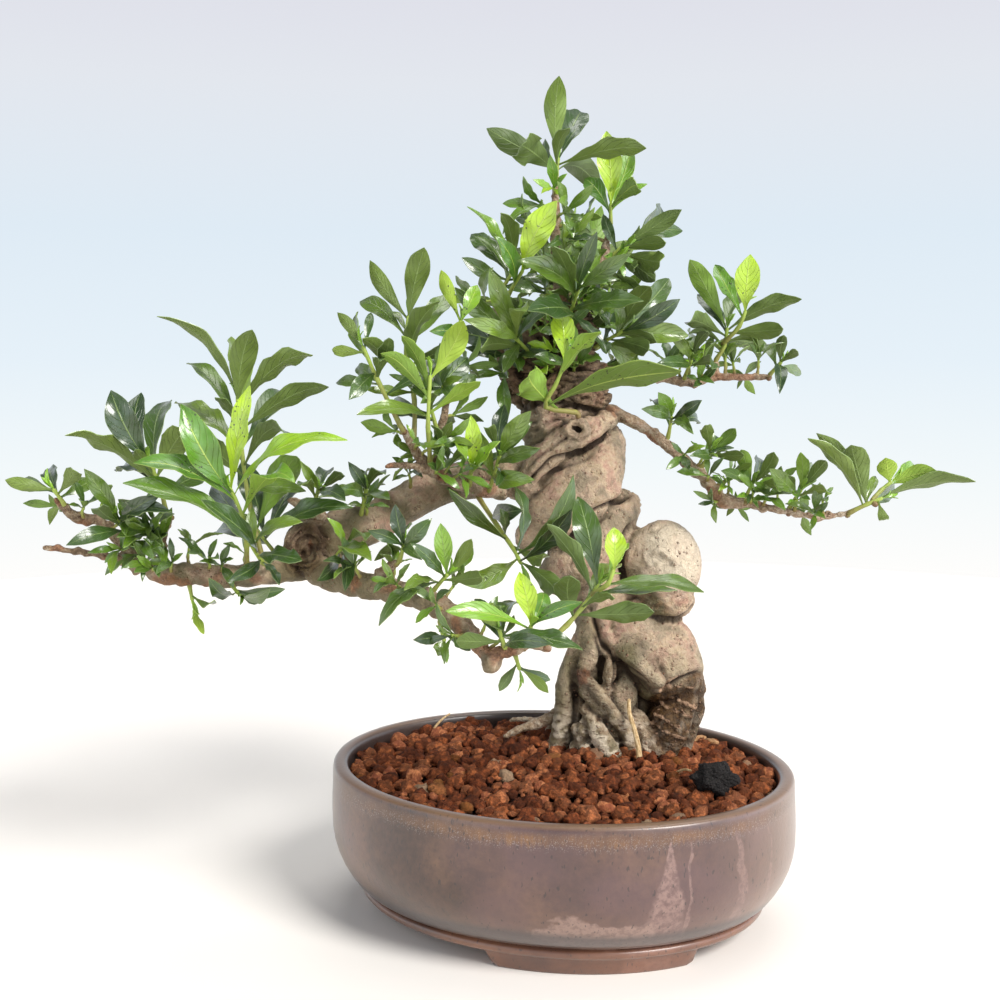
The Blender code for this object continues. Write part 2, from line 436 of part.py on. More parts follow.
def swelling(centre, radii, seed, rows=6, sides=10, rough=0.04):
    rng = random.Random(seed)
    points = [Vector((centre[0], centre[1], centre[2] - radii[2]))]
    for row in range(1, rows):
        tilt = math.pi * row / rows
        for side in range(sides):
            turn = 2.0 * math.pi * (side + 0.5 * (row % 2)) / sides
            reach = 1.0 + rough * rng.uniform(-1.0, 1.0)
            points.append(Vector((
                centre[0] + radii[0] * reach * math.sin(tilt) * math.cos(turn),
                centre[1] + radii[1] * reach * math.sin(tilt) * math.sin(turn),
                centre[2] - radii[2] * reach * math.cos(tilt),
            )))
    points.append(Vector((centre[0], centre[1], centre[2] + radii[2])))
    top = len(points) - 1
    faces = []
    for side in range(sides):
        after = (side + 1) % sides
        faces.append((0, 1 + after, 1 + side))
        faces.append((top, top - sides + side, top - sides + after))
    for row in range(rows - 2):
        low = 1 + row * sides
        high = low + sides
        for side in range(sides):
            after = (side + 1) % sides
            if row % 2 == 0:
                faces.append((low + side, low + after, high + side))
                faces.append((low + after, high + after, high + side))
            else:
                faces.append((low + side, low + after, high + after))
                faces.append((low + side, high + after, high + side))
    return points, faces


def callus(centre, across, up, thickness, turn, sides=10, tube_sides=5):
    """A rolled ring of callus whose axis points to the front, turned about z."""
    points = []
    spin = Matrix.Rotation(math.radians(turn), 3, "Z")
    for side in range(sides):
        angle = 2.0 * math.pi * side / sides
        outward = Vector((math.cos(angle), 0.0, math.sin(angle)))
        hub = Vector((across * math.cos(angle), 0.0, up * math.sin(angle)))
        for step in range(tube_sides):
            roll = 2.0 * math.pi * step / tube_sides
            point = hub + outward * thickness * math.cos(roll) + Vector((0.0, thickness * math.sin(roll), 0.0))
            points.append(Vector(centre) + spin @ point)
    faces = []
    for side in range(sides):
        low = side * tube_sides
        high = ((side + 1) % sides) * tube_sides
        for step in range(tube_sides):
            after = (step + 1) % tube_sides
            faces.append((low + step, high + step, high + after, low + after))
    return points, faces


def wood_solids(names=None, grow=0.0):
    solids = []
    for index, (name, sides, route) in enumerate(LOBES):
        if names is None or name in names:
            rough = 0.06 if route[0][3] > 2.0 else 0.02
            solids.append(limb(sides, route, 100 + index, grow, rough))
    if names is None:
        for index, (name, centre, radii) in enumerate(SWELLINGS):
            solids.append(swelling(centre, radii, 200 + index))
        for name, centre, across, up, thickness, turn in CALLUSES:
            solids.append(callus(centre, across, up, thickness, turn))
    return solids


# Leaves: where each one grows, kept clear of other shoots and of the wood


def tree_of(solids):
    points = []
    faces = []
    for solid_points, solid_faces in solids:
        start = len(points)
        points.extend(solid_points)
        faces.extend(tuple(start + corner for corner in face) for face in solid_faces)
    return BVHTree.FromPolygons(points, faces)


def stem_solid(route, seat_normal, turn=0.0, swell=0.0):
    """A thin tube that starts flat on its seat, its corners turned round it."""
    count = len(route)
    frames = path_frames(route)
    points = []
    for index, (centre, frame) in enumerate(zip(route, frames)):
        share = index / (count - 1)
        radius = STEM_BASE_RADIUS + (STEM_TIP_RADIUS - STEM_BASE_RADIUS) * share + swell
        side = frame[1]
        other = frame[2]
        if index == 0:
            side = (side - seat_normal * side.dot(seat_normal)).normalized()
            other = seat_normal.cross(side)
        for corner in range(STEM_SIDES):
            angle = turn + 2.0 * math.pi * corner / STEM_SIDES
            points.append(centre + (side * math.cos(angle) + other * math.sin(angle)) * radius)
    return points, rings_to_faces(count, STEM_SIDES)


def seat_stem(stem, carrier):
    """Start the stem on the carrier's surface, the gap away from it."""
    inner = stem[0]
    outer = stem[1]
    aim = inner - outer
    hit, normal, _, _ = carrier.ray_cast(outer, aim.normalized(), aim.length + 6.0)
    if hit is None:
        hit, normal, _, _ = carrier.find_nearest(inner)
        if (outer - hit).dot(normal) < 0.0:
            hit, normal, _, _ = carrier.find_nearest(outer)
    if normal.dot(outer - hit) < 0.0:
        normal = -normal
    seat = hit + normal * (GAP + 0.1)
    route = [seat]
    if (inner - seat).length > 4.0 and (inner - hit).dot(normal) > 1.5:
        route.append(inner)
    route.extend(stem[1:])
    return route, normal


def along(route, share):
    lengths = [(b - a).length for a, b in zip(route, route[1:])]
    target = share * sum(lengths)
    for start, end, length in zip(route, route[1:], lengths):
        if target <= length:
            return start.lerp(end, target / length)
        target -= length
    return route[-1].copy()


def blade_facing(base, tip, apex, axis, seen_share):
    """The way a blade's upper face looks: rolled to show the seen share of its
    width from the front, and otherwise as near to the shoot's tip as it can."""
    along_leaf = (tip - base).normalized()
    middle = (base + tip) * 0.5
    inward = apex + axis * (tip - base).length * 0.8 - middle
    inward = (inward - along_leaf * inward.dot(along_leaf)).normalized()
    sight = (middle - Vector(FRONT_EYE)).normalized()
    broad = along_leaf.cross(sight).normalized()
    roll = math.acos(min(seen_share, 1.0))
    choices = []
    for angle in (roll, -roll, math.pi - roll, math.pi + roll):
        side = Matrix.Rotation(angle, 3, along_leaf) @ broad
        choices.append(side.cross(along_leaf))
    return max(choices, key=lambda facing: facing.dot(inward))


def blade_solid(leaf, swell=0.0, start=0.0):
    """An arched blade, folded along its rib unless it is tiny: thick all over,
    and split into triangles alike above and below."""
    base, tip, facing, width = leaf["base"], leaf["tip"], leaf["facing"], leaf["width"]
    span = tip - base
    length = span.length
    side = span.normalized().cross(facing)
    tiny = length < TINY_BLADE_LENGTH
    large = length > LARGE_BLADE_LENGTH
    half = (LARGE_BLADE_THICKNESS if large else SMALL_BLADE_THICKNESS) * 0.5 + swell
    upper = [base + span * start + facing * (4.0 * BLADE_ARCH * length * start * (1.0 - start))]
    for share, breadth in LARGE_BLADE_STATIONS if large else SMALL_BLADE_STATIONS:
        reach = width * 0.5 * breadth + swell
        centre = base + span * share + facing * (4.0 * BLADE_ARCH * length * share * (1.0 - share))
        lift = facing * (BLADE_FOLD * reach)
        upper += [centre - side * reach + lift, centre + side * reach + lift]
        if not tiny:
            upper.append(centre)
    upper.append(tip + span.normalized() * swell)
    if tiny:
        top = [(0, 2, 1), (1, 2, 3)]
        rim = [0, 2, 3, 1]
    elif large:
        top = [(0, 3, 1), (0, 2, 3), (1, 3, 6), (1, 6, 4), (3, 2, 5), (3, 5, 6), (4, 6, 7), (6, 5, 7)]
        rim = [0, 2, 5, 7, 4, 1]
    else:
        top = [(0, 3, 1), (0, 2, 3), (1, 3, 4), (3, 2, 4)]
        rim = [0, 2, 4, 1]
    points = [point + facing * half for point in upper] + [point - facing * half for point in upper]
    shift = len(upper)
    faces = list(top)
    faces += [tuple(corner + shift for corner in reversed(face)) for face in top]
    for here, after in zip(rim, rim[1:] + rim[:1]):
        faces.append((here + shift, after + shift, after, here))
    return points, faces


def leaves_by_rule(name, route):
    """Leaves set round the stem by the golden angle, steeper towards its end."""
    count, length = MORE_LEAVES.get(name, (0, 0.0))
    rng = random.Random(name)
    axis = (route[-1] - route[0]).normalized()
    side = axis.orthogonal().normalized()
    start = rng.uniform(0.0, 2.0 * math.pi)
    leaves = []
    for index in range(count):
        share = 0.1 + 0.8 * (index + 0.5) / count
        turn = start + index * math.radians(137.5)
        lean = math.radians(72.0 - 34.0 * share + rng.uniform(-8.0, 8.0))
        outward = Matrix.Rotation(turn, 3, axis) @ side
        span = length * rng.uniform(0.8, 1.1)
        tip = along(route, share) + (axis * math.cos(lean) + outward * math.sin(lean)) * span
        leaves.append((share, tip, span * LEAF_BREADTH * rng.uniform(0.6, 1.0)))
    return leaves


def grow_leaves():
    """Stems and leaves of every shoot, each leaf turned until nothing crosses it."""
    wood = tree_of(wood_solids())
    shoots = {}
    for name, tone, carrier, stem, leaves in SHOOTS:
        stem_points = [Vector(point) for point in stem]
        carrier_tree = wood if carrier == "wood" else shoots[carrier]["stem_tree"]
        route, normal = seat_stem(stem_points, carrier_tree)
        shoots[name] = {
            "tone": tone,
            "route": route,
            "normal": normal,
            "stem_tree": tree_of([stem_solid(route, normal)]),
            "clearance": tree_of([stem_solid(route, normal, 0.0, GAP)]),
            "leaves": [],
        }
    grown = []
    rng = random.Random(LEAF_SEED)
    dropped = []
    for name, tone, carrier, stem, leaves in SHOOTS:
        shoot = shoots[name]
        route = shoot["route"]
        axis = (route[-1] - route[-2]).normalized()
        others = [wood] + [shoots[key]["clearance"] for key in shoots if key != name]
        others += [item["tree"] for item in grown]
        own = []
        for share, tip, width in [*leaves, *leaves_by_rule(name, route)]:
            wave = rng.random()
            chosen = None
            for attempt in range(LEAF_ATTEMPTS):
                reach = LEAF_TURN * attempt / LEAF_ATTEMPTS
                turn, tilt, slide = [reach * rng.uniform(-1.0, 1.0) for _ in range(3)]
                scale = 1.0 - 0.25 * attempt / LEAF_ATTEMPTS
                base = along(route, max(0.12, min(0.25 + 0.72 * share + slide, 0.97)))
                outward = Vector(tip) - base
                outward = (outward - axis * outward.dot(axis)).normalized()
                base -= outward * (BLADE_ROOT + rng.uniform(-0.12, 0.12))
                span = Vector(tip) - base
                sideways = span.cross(Vector((0.0, 0.0, 1.0))).normalized()
                span = Matrix.Rotation(turn, 3, "Z") @ span
                span = Matrix.Rotation(tilt, 3, sideways) @ span
                end = base + span * scale
                breadth = max(width, LEAF_BREADTH * (end - base).length)
                facing = blade_facing(base, end, route[-1], axis, width / breadth)
                leaf = {"base": base, "tip": end, "facing": facing, "width": breadth, "wave": wave, "tone": tone}
                body = tree_of([blade_solid(leaf, 0.25)])
                if any(body.overlap(other) for other in others):
                    continue
                outer_part = tree_of([blade_solid(leaf, 0.05, FREE_FROM)])
                if any(outer_part.overlap(other) for other in own):
                    continue
                chosen = leaf
                break
            if chosen is None:
                dropped.append((name, tip))
                continue
            shoot["leaves"].append(chosen)
            own.append(tree_of([blade_solid(chosen, 0.05, FREE_FROM)]))
            grown.append({"tree": body, "leaf": chosen})
    return shoots, dropped


# Joining solids


def join_solids(item, solids, operation="UNION", solver="EXACT"):
    """One Boolean of the object with the solids, applied; tells whether the result is closed."""
    group = bpy.data.collections.new("operands")
    bpy.context.scene.collection.children.link(group)
    for index, (points, faces) in enumerate(solids):
        mesh = bpy.data.meshes.new("operand")
        mesh.from_pydata([Vector(point) * MM for point in points], [], faces)
        operand = bpy.data.objects.new("operand", mesh)
        operand.parent = item.parent
        group.objects.link(operand)
    joint = item.modifiers.new("join", "BOOLEAN")
    joint.operation = operation
    joint.operand_type = "COLLECTION"
    joint.collection = group
    joint.solver = solver
    bpy.context.view_layer.update()
    depsgraph = bpy.context.evaluated_depsgraph_get()
    result = bpy.data.meshes.new_from_object(item.evaluated_get(depsgraph))
    item.modifiers.clear()
    item.data = result
    for operand in list(group.objects):
        bpy.data.objects.remove(operand, do_unlink=True)
    bpy.data.collections.remove(group)
    return keep_main_body(item.data)


def keep_main_body(mesh):
    """Triangles of the body with the most faces, without loose scraps and sealed hollows."""
    work = bmesh.new()
    work.from_mesh(mesh)
    spare = [vertex for vertex in work.verts if len(vertex.link_edges) == 2]
    bmesh.ops.dissolve_verts(work, verts=spare)
    bmesh.ops.triangulate(work, faces=work.faces)
    unseen = set(work.faces)
    bodies = []
    while unseen:
        body = []
        front = [unseen.pop()]
        while front:
            face = front.pop()
            body.append(face)
            for edge in face.edges:
                for near in edge.link_faces:
                    if near in unseen:
                        unseen.remove(near)
                        front.append(near)
        bodies.append(body)
    bodies.sort(key=len, reverse=True)
    scraps = [face for body in bodies[1:] for face in body]
    bmesh.ops.delete(work, geom=scraps, context="FACES")
    work.to_mesh(mesh)
    clean = all(len(edge.link_faces) == 2 for edge in work.edges)
    work.free()
    return clean


# Pot and what lies in it


def oval_ring(inset, height):
    ring = []
    for index in range(POT_SEGMENTS):
        angle = 2.0 * math.pi * index / POT_SEGMENTS
        ring.append(Vector((
            (RIM_HALF_LENGTH - inset) * math.cos(angle),
            (RIM_HALF_WIDTH - inset) * math.sin(angle),
            height,
        )))
    return ring


def turned_oval(profile):
    """A closed body through rings of inset and height, flat at both ends."""
    points = []
    for inset, height in profile:
        points.extend(oval_ring(inset, height))
    return points, rings_to_faces(len(profile), POT_SEGMENTS)


def build_pot():
    outside = (
        (15.0, UNDERSIDE_HEIGHT),
        (11.5, 7.4),
        (11.3, 9.6),
        (13.2, 11.0),
        (9.0, 14.5),
        (5.4, 18.0),
        (2.0, 24.5),
        (-0.6, 38.0),
        (0.0, RIM_HEIGHT - 3.0),
        (0.9, RIM_HEIGHT),
    )
    inside = (
        (LIP_WIDTH, RIM_HEIGHT),
        (WALL, RIM_HEIGHT - 9.0),
        (WALL + 0.6, 32.0),
        (12.0, 16.0),
        (19.0, FLOOR_HEIGHT),
    )
    pot = add_object("pot", turned_oval(outside + inside), "glazed_stoneware")
    join_solids(pot, [foot_solid(angle) for angle in FOOT_ANGLES])
    drains = [drain_solid(side * DRAIN_SPACING) for side in (-1.0, 1.0)]
    join_solids(pot, drains, "DIFFERENCE")
    return pot


def foot_solid(centre_angle):
    """A broad low foot that follows the oval, its ends raked in towards the table."""
    stations = 7
    outer_top, outer_low = 13.6, 15.2
    rake = 3.0
    points = []
    for index in range(stations):
        share = 2.0 * index / (stations - 1) - 1.0
        for inset, height in (
            (outer_low, 0.0),
            (outer_top, UNDERSIDE_HEIGHT + 1.6),
            (outer_low + FOOT_DEPTH, UNDERSIDE_HEIGHT + 1.6),
            (outer_low + FOOT_DEPTH, 0.0),
        ):
            span = FOOT_HALF_SPAN - (rake if height == 0.0 else 0.0)
            angle = math.radians(centre_angle + span * share)
            points.append(Vector((
                (RIM_HALF_LENGTH - inset) * math.cos(angle),
                (RIM_HALF_WIDTH - inset) * math.sin(angle),
                height,
            )))
    faces = [tuple(reversed(face)) for face in rings_to_faces(stations, 4)]
    return points, faces


def drain_solid(x):
    sides = 16
    points = []
    for height in (UNDERSIDE_HEIGHT - 3.0, FLOOR_HEIGHT + 3.0):
        for index in range(sides):
            angle = 2.0 * math.pi * index / sides
            points.append(Vector((x + DRAIN_RADIUS * math.cos(angle), DRAIN_RADIUS * math.sin(angle), height)))
    return points, rings_to_faces(2, sides)


def build_screen(name, x):
    """Coarse plastic net over a drain hole: two openings each way."""
    cells = 5
    step = SCREEN_SIZE / cells
    low = FLOOR_HEIGHT + GAP
    work = bmesh.new()
    corners = {}
    for level, height in enumerate((low, low + SCREEN_THICKNESS)):
        for row in range(cells + 1):
            for column in range(cells + 1):
                place = (x + (column - cells / 2.0) * step, (row - cells / 2.0) * step, height)
                corners[level, row, column] = work.verts.new(Vector(place) * MM)
    solid = {(row, column) for row in range(cells) for column in range(cells) if row % 2 == 0 or column % 2 == 0}
    for row, column in solid:
        ring = ((row, column), (row, column + 1), (row + 1, column + 1), (row + 1, column))
        work.faces.new([corners[(1, *place)] for place in ring])
        work.faces.new([corners[(0, *place)] for place in reversed(ring)])
        beside = ((row - 1, column), (row, column + 1), (row + 1, column), (row, column - 1))
        for index, neighbour in enumerate(beside):
            if neighbour in solid:
                continue
            here, after = ring[index], ring[(index + 1) % 4]
            wall = (corners[(0, *here)], corners[(0, *after)], corners[(1, *after)], corners[(1, *here)])
            work.faces.new(wall)
    bmesh.ops.delete(work, geom=[v for v in work.verts if not v.link_faces], context="VERTS")
    mesh = bpy.data.meshes.new(name)
    work.to_mesh(mesh)
    work.free()
    mesh.materials.append(finish("screen_plastic"))
    item = bpy.data.objects.new(name, mesh)
    bpy.context.scene.collection.objects.link(item)
    return item


def soil_height(x, y):
    """Height of the bed under its grains, in the pot's frame."""
    reach = (x / RIM_HALF_LENGTH) ** 2 + (y / RIM_HALF_WIDTH) ** 2
    trunk = Matrix.Rotation(TREE_TURN, 2) @ Vector(TRUNK_FOOT)
    from_trunk = (Vector((x, y)) - trunk).length
    return SOIL_EDGE_HEIGHT + SOIL_RISE * (1.0 - reach) + TRUNK_MOUND * math.exp(-(from_trunk / 38.0) ** 2)


def build_soil(grown_roots):
    """Bed of fired clay grains: a body that fills the pot, its top raised into grains."""
    rng = random.Random(SOIL_SEED)
    wall_rings = ((16.7, FLOOR_HEIGHT + GAP * 2.0 + SCREEN_THICKNESS), (12.5, 16.3), (WALL + 1.0, 32.0), (WALL + 0.4, 47.0))
    edge = oval_ring(WALL + 0.4, 0.0)
    edge_points = [Vector((point.x, point.y)) for point in edge]
    lattice = []
    row_step = GRAIN_SPACING * math.sqrt(0.75)
    rows = int(RIM_HALF_WIDTH / row_step) + 1
    columns = int(RIM_HALF_LENGTH / GRAIN_SPACING) + 2
    for row in range(-rows, rows + 1):
        for column in range(-columns - rows, columns + rows + 1):
            x = (column + row * 0.5) * GRAIN_SPACING + rng.uniform(-0.7, 0.7)
            y = row * row_step + rng.uniform(-0.7, 0.7)
            crest = (column - row) % 3 == 0
            relief = GRAIN_RELIEF * rng.uniform(0.55, 1.0) if crest else rng.uniform(-0.9, 0.25)
            half_x = RIM_HALF_LENGTH - WALL - 2.6
            half_y = RIM_HALF_WIDTH - WALL - 2.6
            if (x / half_x) ** 2 + (y / half_y) ** 2 < 1.0:
                lattice.append((Vector((x, y)), relief))
    flat = edge_points + [place for place, relief in lattice]
    edges = [(index, (index + 1) % POT_SEGMENTS) for index in range(POT_SEGMENTS)]
    placed, _, triangles, origins, _, _ = delaunay_2d_cdt(flat, edges, [], 1, 0.0001)
    points = []
    for inset, height in wall_rings:
        points.extend(oval_ring(inset, height))
    top_start = len(points)
    for place, origin in zip(placed, origins):
        index = origin[0]
        relief = 0.0 if index < POT_SEGMENTS else lattice[index - POT_SEGMENTS][1]
        points.append(Vector((place.x, place.y, soil_height(place.x, place.y) + relief)))
    faces = rings_to_faces(len(wall_rings), POT_SEGMENTS, closed_ends=False)
    faces.append(tuple(reversed(range(POT_SEGMENTS))))
    rim_of = {origin[0]: index for index, origin in enumerate(origins) if origin[0] < POT_SEGMENTS}
    last = (len(wall_rings) - 1) * POT_SEGMENTS
    for index in range(POT_SEGMENTS):
        after = (index + 1) % POT_SEGMENTS
        faces.append((last + index, last + after, top_start + rim_of[after], top_start + rim_of[index]))
    for triangle in triangles:
        faces.append(tuple(top_start + corner for corner in triangle))
    soil = add_object("soil", (points, faces), "baked_clay_granules")
    face_outwards(soil.data)
    turn = Matrix.Rotation(TREE_TURN, 3, "Z")
    holes = [([turn @ point for point in hole_points], hole_faces) for hole_points, hole_faces in grown_roots]
    join_solids(soil, holes, "DIFFERENCE")
    return soil


def resting_height(solid, bed):
    """How far to lift a solid so that it lies on the bed, the gap above it."""
    points, faces = solid
    far = Vector((0.0, 0.0, 500.0))
    down = Vector((0.0, 0.0, -1.0))
    bed_points = [vertex.co / MM for vertex in bed.data.vertices]
    bed_tree = BVHTree.FromPolygons(bed_points, [tuple(face.vertices) for face in bed.data.polygons])
    piece_tree = BVHTree.FromPolygons(points, faces)
    lifts = []
    for point in points:
        hit = bed_tree.ray_cast(point + far, down)[0]
        if hit:
            lifts.append(hit.z - point.z)
    for point in bed_points:
        hit = piece_tree.ray_cast(point - far, -down)[0]
        if hit:
            lifts.append(point.z - hit.z)
    return max(lifts) + GAP


def chunk(size, seed, sides=8, rows=5, rough=0.18):
    return swelling((0.0, 0.0, 0.0), size, seed, rows, sides, rough)


def place_on_soil(name, solid, material_name, soil, x, y, turn):
    place = Matrix.Rotation(TREE_TURN, 2) @ Vector((x, y))
    points, faces = solid
    spin = Matrix.Rotation(TREE_TURN + math.radians(turn), 3, "Z")
    points = [spin @ Vector(point) + Vector((place.x, place.y, 0.0)) for point in points]
    lift = Vector((0.0, 0.0, resting_height((points, faces), soil)))
    return add_object(name, ([point + lift for point in points], faces), material_name)


def build_wood(parent):
    solids = wood_solids()
    core = [index for index, lobe in enumerate(LOBES) if lobe[0] == "core"][0]
    wood = add_object("trunk_and_limbs", solids[core], "bark", parent)
    rest = solids[:core] + solids[core + 1:]
    join_solids(wood, rest)
    return wood


def build_shoot(name, shoot, parent):
    """Stem and blades as one body; the stem's corners are turned until they join cleanly."""
    material_name = "fresh_leaf" if shoot["tone"] == "fresh" else "dark_leaf"
    blades = [blade_solid(leaf) for leaf in shoot["leaves"]]
    for attempt in range(40):
        stem = stem_solid(shoot["route"], shoot["normal"], math.radians(4.0 * attempt))
        item = add_object("shoot_" + name, stem, material_name, parent)
        if join_solids(item, blades, solver="EXACT" if attempt % 2 else "MANIFOLD"):
            return item
        bpy.data.objects.remove(item, do_unlink=True)
    raise RuntimeError("shoot does not join cleanly: " + name)


def centre_on_floor(items, roots):
    """Move everything so that the box of the whole stands on z = 0 round the z axis."""
    bpy.context.view_layer.update()
    corners = [item.matrix_world @ vertex.co for item in items for vertex in item.data.vertices]
    low = Vector([min(corner[axis] for corner in corners) for axis in range(3)])
    high = Vector([max(corner[axis] for corner in corners) for axis in range(3)])
    shift = Vector((-(low.x + high.x) * 0.5, -(low.y + high.y) * 0.5, -low.z))
    for root in roots:
        root.location += shift


def main():
    clear_scene()
    bonsai = bpy.data.objects.new("bonsai_origin", None)
    tree = bpy.data.objects.new("tree_origin", None)
    for empty in (bonsai, tree):
        bpy.context.scene.collection.objects.link(empty)
    tree.parent = bonsai
    tree.rotation_euler.z = TREE_TURN
    bpy.context.view_layer.update()

    pot = build_pot()
    screens = [
        build_screen("drain_screen_left", -DRAIN_SPACING),
        build_screen("drain_screen_right", DRAIN_SPACING),
    ]
    soil = build_soil(wood_solids(ROOTS_IN_SOIL, GAP))
    x, y, size = LAVA_LUMP
    litter = [place_on_soil("lava_lump", chunk((size, size * 0.62, size * 0.62), 5), "lava", soil, x, y, 0.0)]
    for index, (x, y, turn) in enumerate(BARK_CHIPS):
        half = [value * 0.5 for value in CHIP_SIZE]
        solid = chunk(half, 30 + index, sides=6, rows=4, rough=0.12)
        litter.append(place_on_soil("bark_chip_" + str(index + 1), solid, "dry_bark", soil, x, y, turn))
    for index, (x, y, turn, length, slope) in enumerate(STRAWS):
        reach = length * 0.5 * math.cos(math.radians(slope))
        rise = length * 0.5 * math.sin(math.radians(slope))
        route = [(-reach, 0.0, -rise, STRAW_RADIUS), (0.0, 0.8, 0.0, STRAW_RADIUS), (reach, 0.0, rise, STRAW_RADIUS)]
        solid = limb(5, route, 60 + index, 0.0, 0.0)
        litter.append(place_on_soil("straw_" + str(index + 1), solid, "straw", soil, x, y, turn))

    wood = build_wood(tree)
    shoots, dropped = grow_leaves()
    print("leaves dropped:", dropped)
    print("leaves grown:", sum(len(shoot["leaves"]) for shoot in shoots.values()))
    leafy = [build_shoot(name, shoot, tree) for name, shoot in shoots.items()]

    potted = [pot, soil, *screens, *litter]
    for item in potted:
        item.parent = bonsai
    centre_on_floor([*potted, wood, *leafy], [bonsai])


main()
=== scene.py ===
# Gardenia bonsai in its oval glazed pot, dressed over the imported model.
# Sizes are in millimetres and turn to metres where a mesh is placed.
import math
import random

import bpy
import numpy as np
from mathutils import Matrix, Vector, noise
from mathutils.bvhtree import BVHTree


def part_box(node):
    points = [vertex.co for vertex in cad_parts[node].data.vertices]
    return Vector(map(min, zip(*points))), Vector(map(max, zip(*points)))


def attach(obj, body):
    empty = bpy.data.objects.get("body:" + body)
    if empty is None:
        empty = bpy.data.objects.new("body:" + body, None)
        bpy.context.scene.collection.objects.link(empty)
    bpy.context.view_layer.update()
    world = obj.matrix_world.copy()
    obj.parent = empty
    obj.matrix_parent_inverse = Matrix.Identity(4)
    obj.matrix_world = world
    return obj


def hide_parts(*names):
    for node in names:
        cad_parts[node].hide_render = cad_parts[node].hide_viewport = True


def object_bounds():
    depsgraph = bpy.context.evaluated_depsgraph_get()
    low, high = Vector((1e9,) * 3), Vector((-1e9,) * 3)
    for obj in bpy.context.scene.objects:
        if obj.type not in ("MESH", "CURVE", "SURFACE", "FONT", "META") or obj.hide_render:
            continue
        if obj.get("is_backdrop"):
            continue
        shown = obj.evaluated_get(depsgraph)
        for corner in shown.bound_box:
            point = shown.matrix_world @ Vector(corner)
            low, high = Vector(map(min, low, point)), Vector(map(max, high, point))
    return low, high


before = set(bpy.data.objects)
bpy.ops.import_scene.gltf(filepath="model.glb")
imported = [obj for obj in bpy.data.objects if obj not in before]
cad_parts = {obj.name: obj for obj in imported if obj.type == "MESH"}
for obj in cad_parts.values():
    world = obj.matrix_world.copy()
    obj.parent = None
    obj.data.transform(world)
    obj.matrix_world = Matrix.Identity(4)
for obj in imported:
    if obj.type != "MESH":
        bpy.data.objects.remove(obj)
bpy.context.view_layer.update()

# Camera: half a metre in front of the pot and to the right of its broad side, looking a
# little down. The pot's middle is the point that it was fitted to.
MM = 0.001
LENS = 49.5
SENSOR = 36.0
CAMERA_PLACE = (161.7, -513.9, 220.2)
CAMERA_RIGHT = (0.9397, 0.3420, 0.0)
CAMERA_BACK = (0.3402, -0.9347, 0.1030)
CAMERA_UP = (-0.0352, 0.0968, 0.9947)
pot_low, pot_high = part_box("pot")
pot_centre = Vector(((pot_low.x + pot_high.x) / 2, (pot_low.y + pot_high.y) / 2, 0.0))
pot_place = Matrix.Translation(pot_centre) @ Matrix.Scale(MM, 4)
camera_data = bpy.data.cameras.new("camera")
camera_data.lens = LENS
camera_data.sensor_width = SENSOR
camera_data.clip_start = 0.01
camera = bpy.data.objects.new("camera", camera_data)
bpy.context.scene.collection.objects.link(camera)
turned = Matrix((CAMERA_RIGHT, CAMERA_UP, CAMERA_BACK)).transposed().to_4x4()
camera.matrix_world = Matrix.Translation(pot_centre + Vector(CAMERA_PLACE) * MM) @ turned
bpy.context.scene.camera = camera

# Pot: wheel-formed stoneware pressed to an oval, with a flat lip, a groove and a bead over
# three broad feet. It was dipped in a satin taupe glaze that ran pink where it lay thick.
RIM_HALF_LENGTH = 93.0
RIM_HALF_WIDTH = 79.0
POT_SEGMENTS = 180
POT_PROFILE = (
    (19.0, 13.0), (15.0, 13.6), (12.0, 16.0), (9.0, 21.0), (7.4, 28.0), (6.8, 36.0), (6.5, 46.0),
    (6.4, 52.0), (6.3, 56.6), (6.0, 58.3), (5.5, 59.1), (4.9, 59.45), (3.2, 59.6), (1.5, 59.45),
    (0.7, 59.1), (0.3, 58.5), (0.05, 57.4), (0.0, 55.6), (-0.1, 52.0), (-0.4, 46.0), (-0.5, 40.0),
    (-0.35, 34.0), (0.3, 29.5), (1.5, 25.2), (3.2, 21.2), (5.4, 17.4), (7.9, 14.0), (10.2, 11.9),
    (12.2, 11.2), (12.9, 10.85), (12.5, 10.5), (11.7, 10.2), (11.2, 9.5), (11.1, 8.8), (11.3, 7.9),
    (12.0, 7.1), (13.3, 6.7),
)
UNDERSIDE_HEIGHT = 6.6
FOOT_PROFILE = (
    (13.9, 5.6), (14.3, 3.6), (14.8, 1.2), (15.4, 0.2), (16.4, 0.0), (24.0, 0.0), (24.9, 0.6), (25.4, 6.4),
)
FOOT_ANGLES = (-64.5, 55.5, 175.5)
FOOT_HALF_SPAN = 31.5
FOOT_END = 2.6
DRAIN_RADIUS = 7.0
DRAIN_SPACING = 38.0
DRILL_LENGTH = 20.0
POT_WOBBLE = 0.35
WOBBLE_SPREAD = 42.0
POT_SMOOTH_ANGLE = 40.0


def srgb(code):
    """Linear colour of an sRGB hex value."""
    parts = [int(code[index:index + 2], 16) / 255.0 for index in (1, 3, 5)]
    return tuple(v / 12.92 if v <= 0.04045 else ((v + 0.055) / 1.055) ** 2.4 for v in parts) + (1.0,)


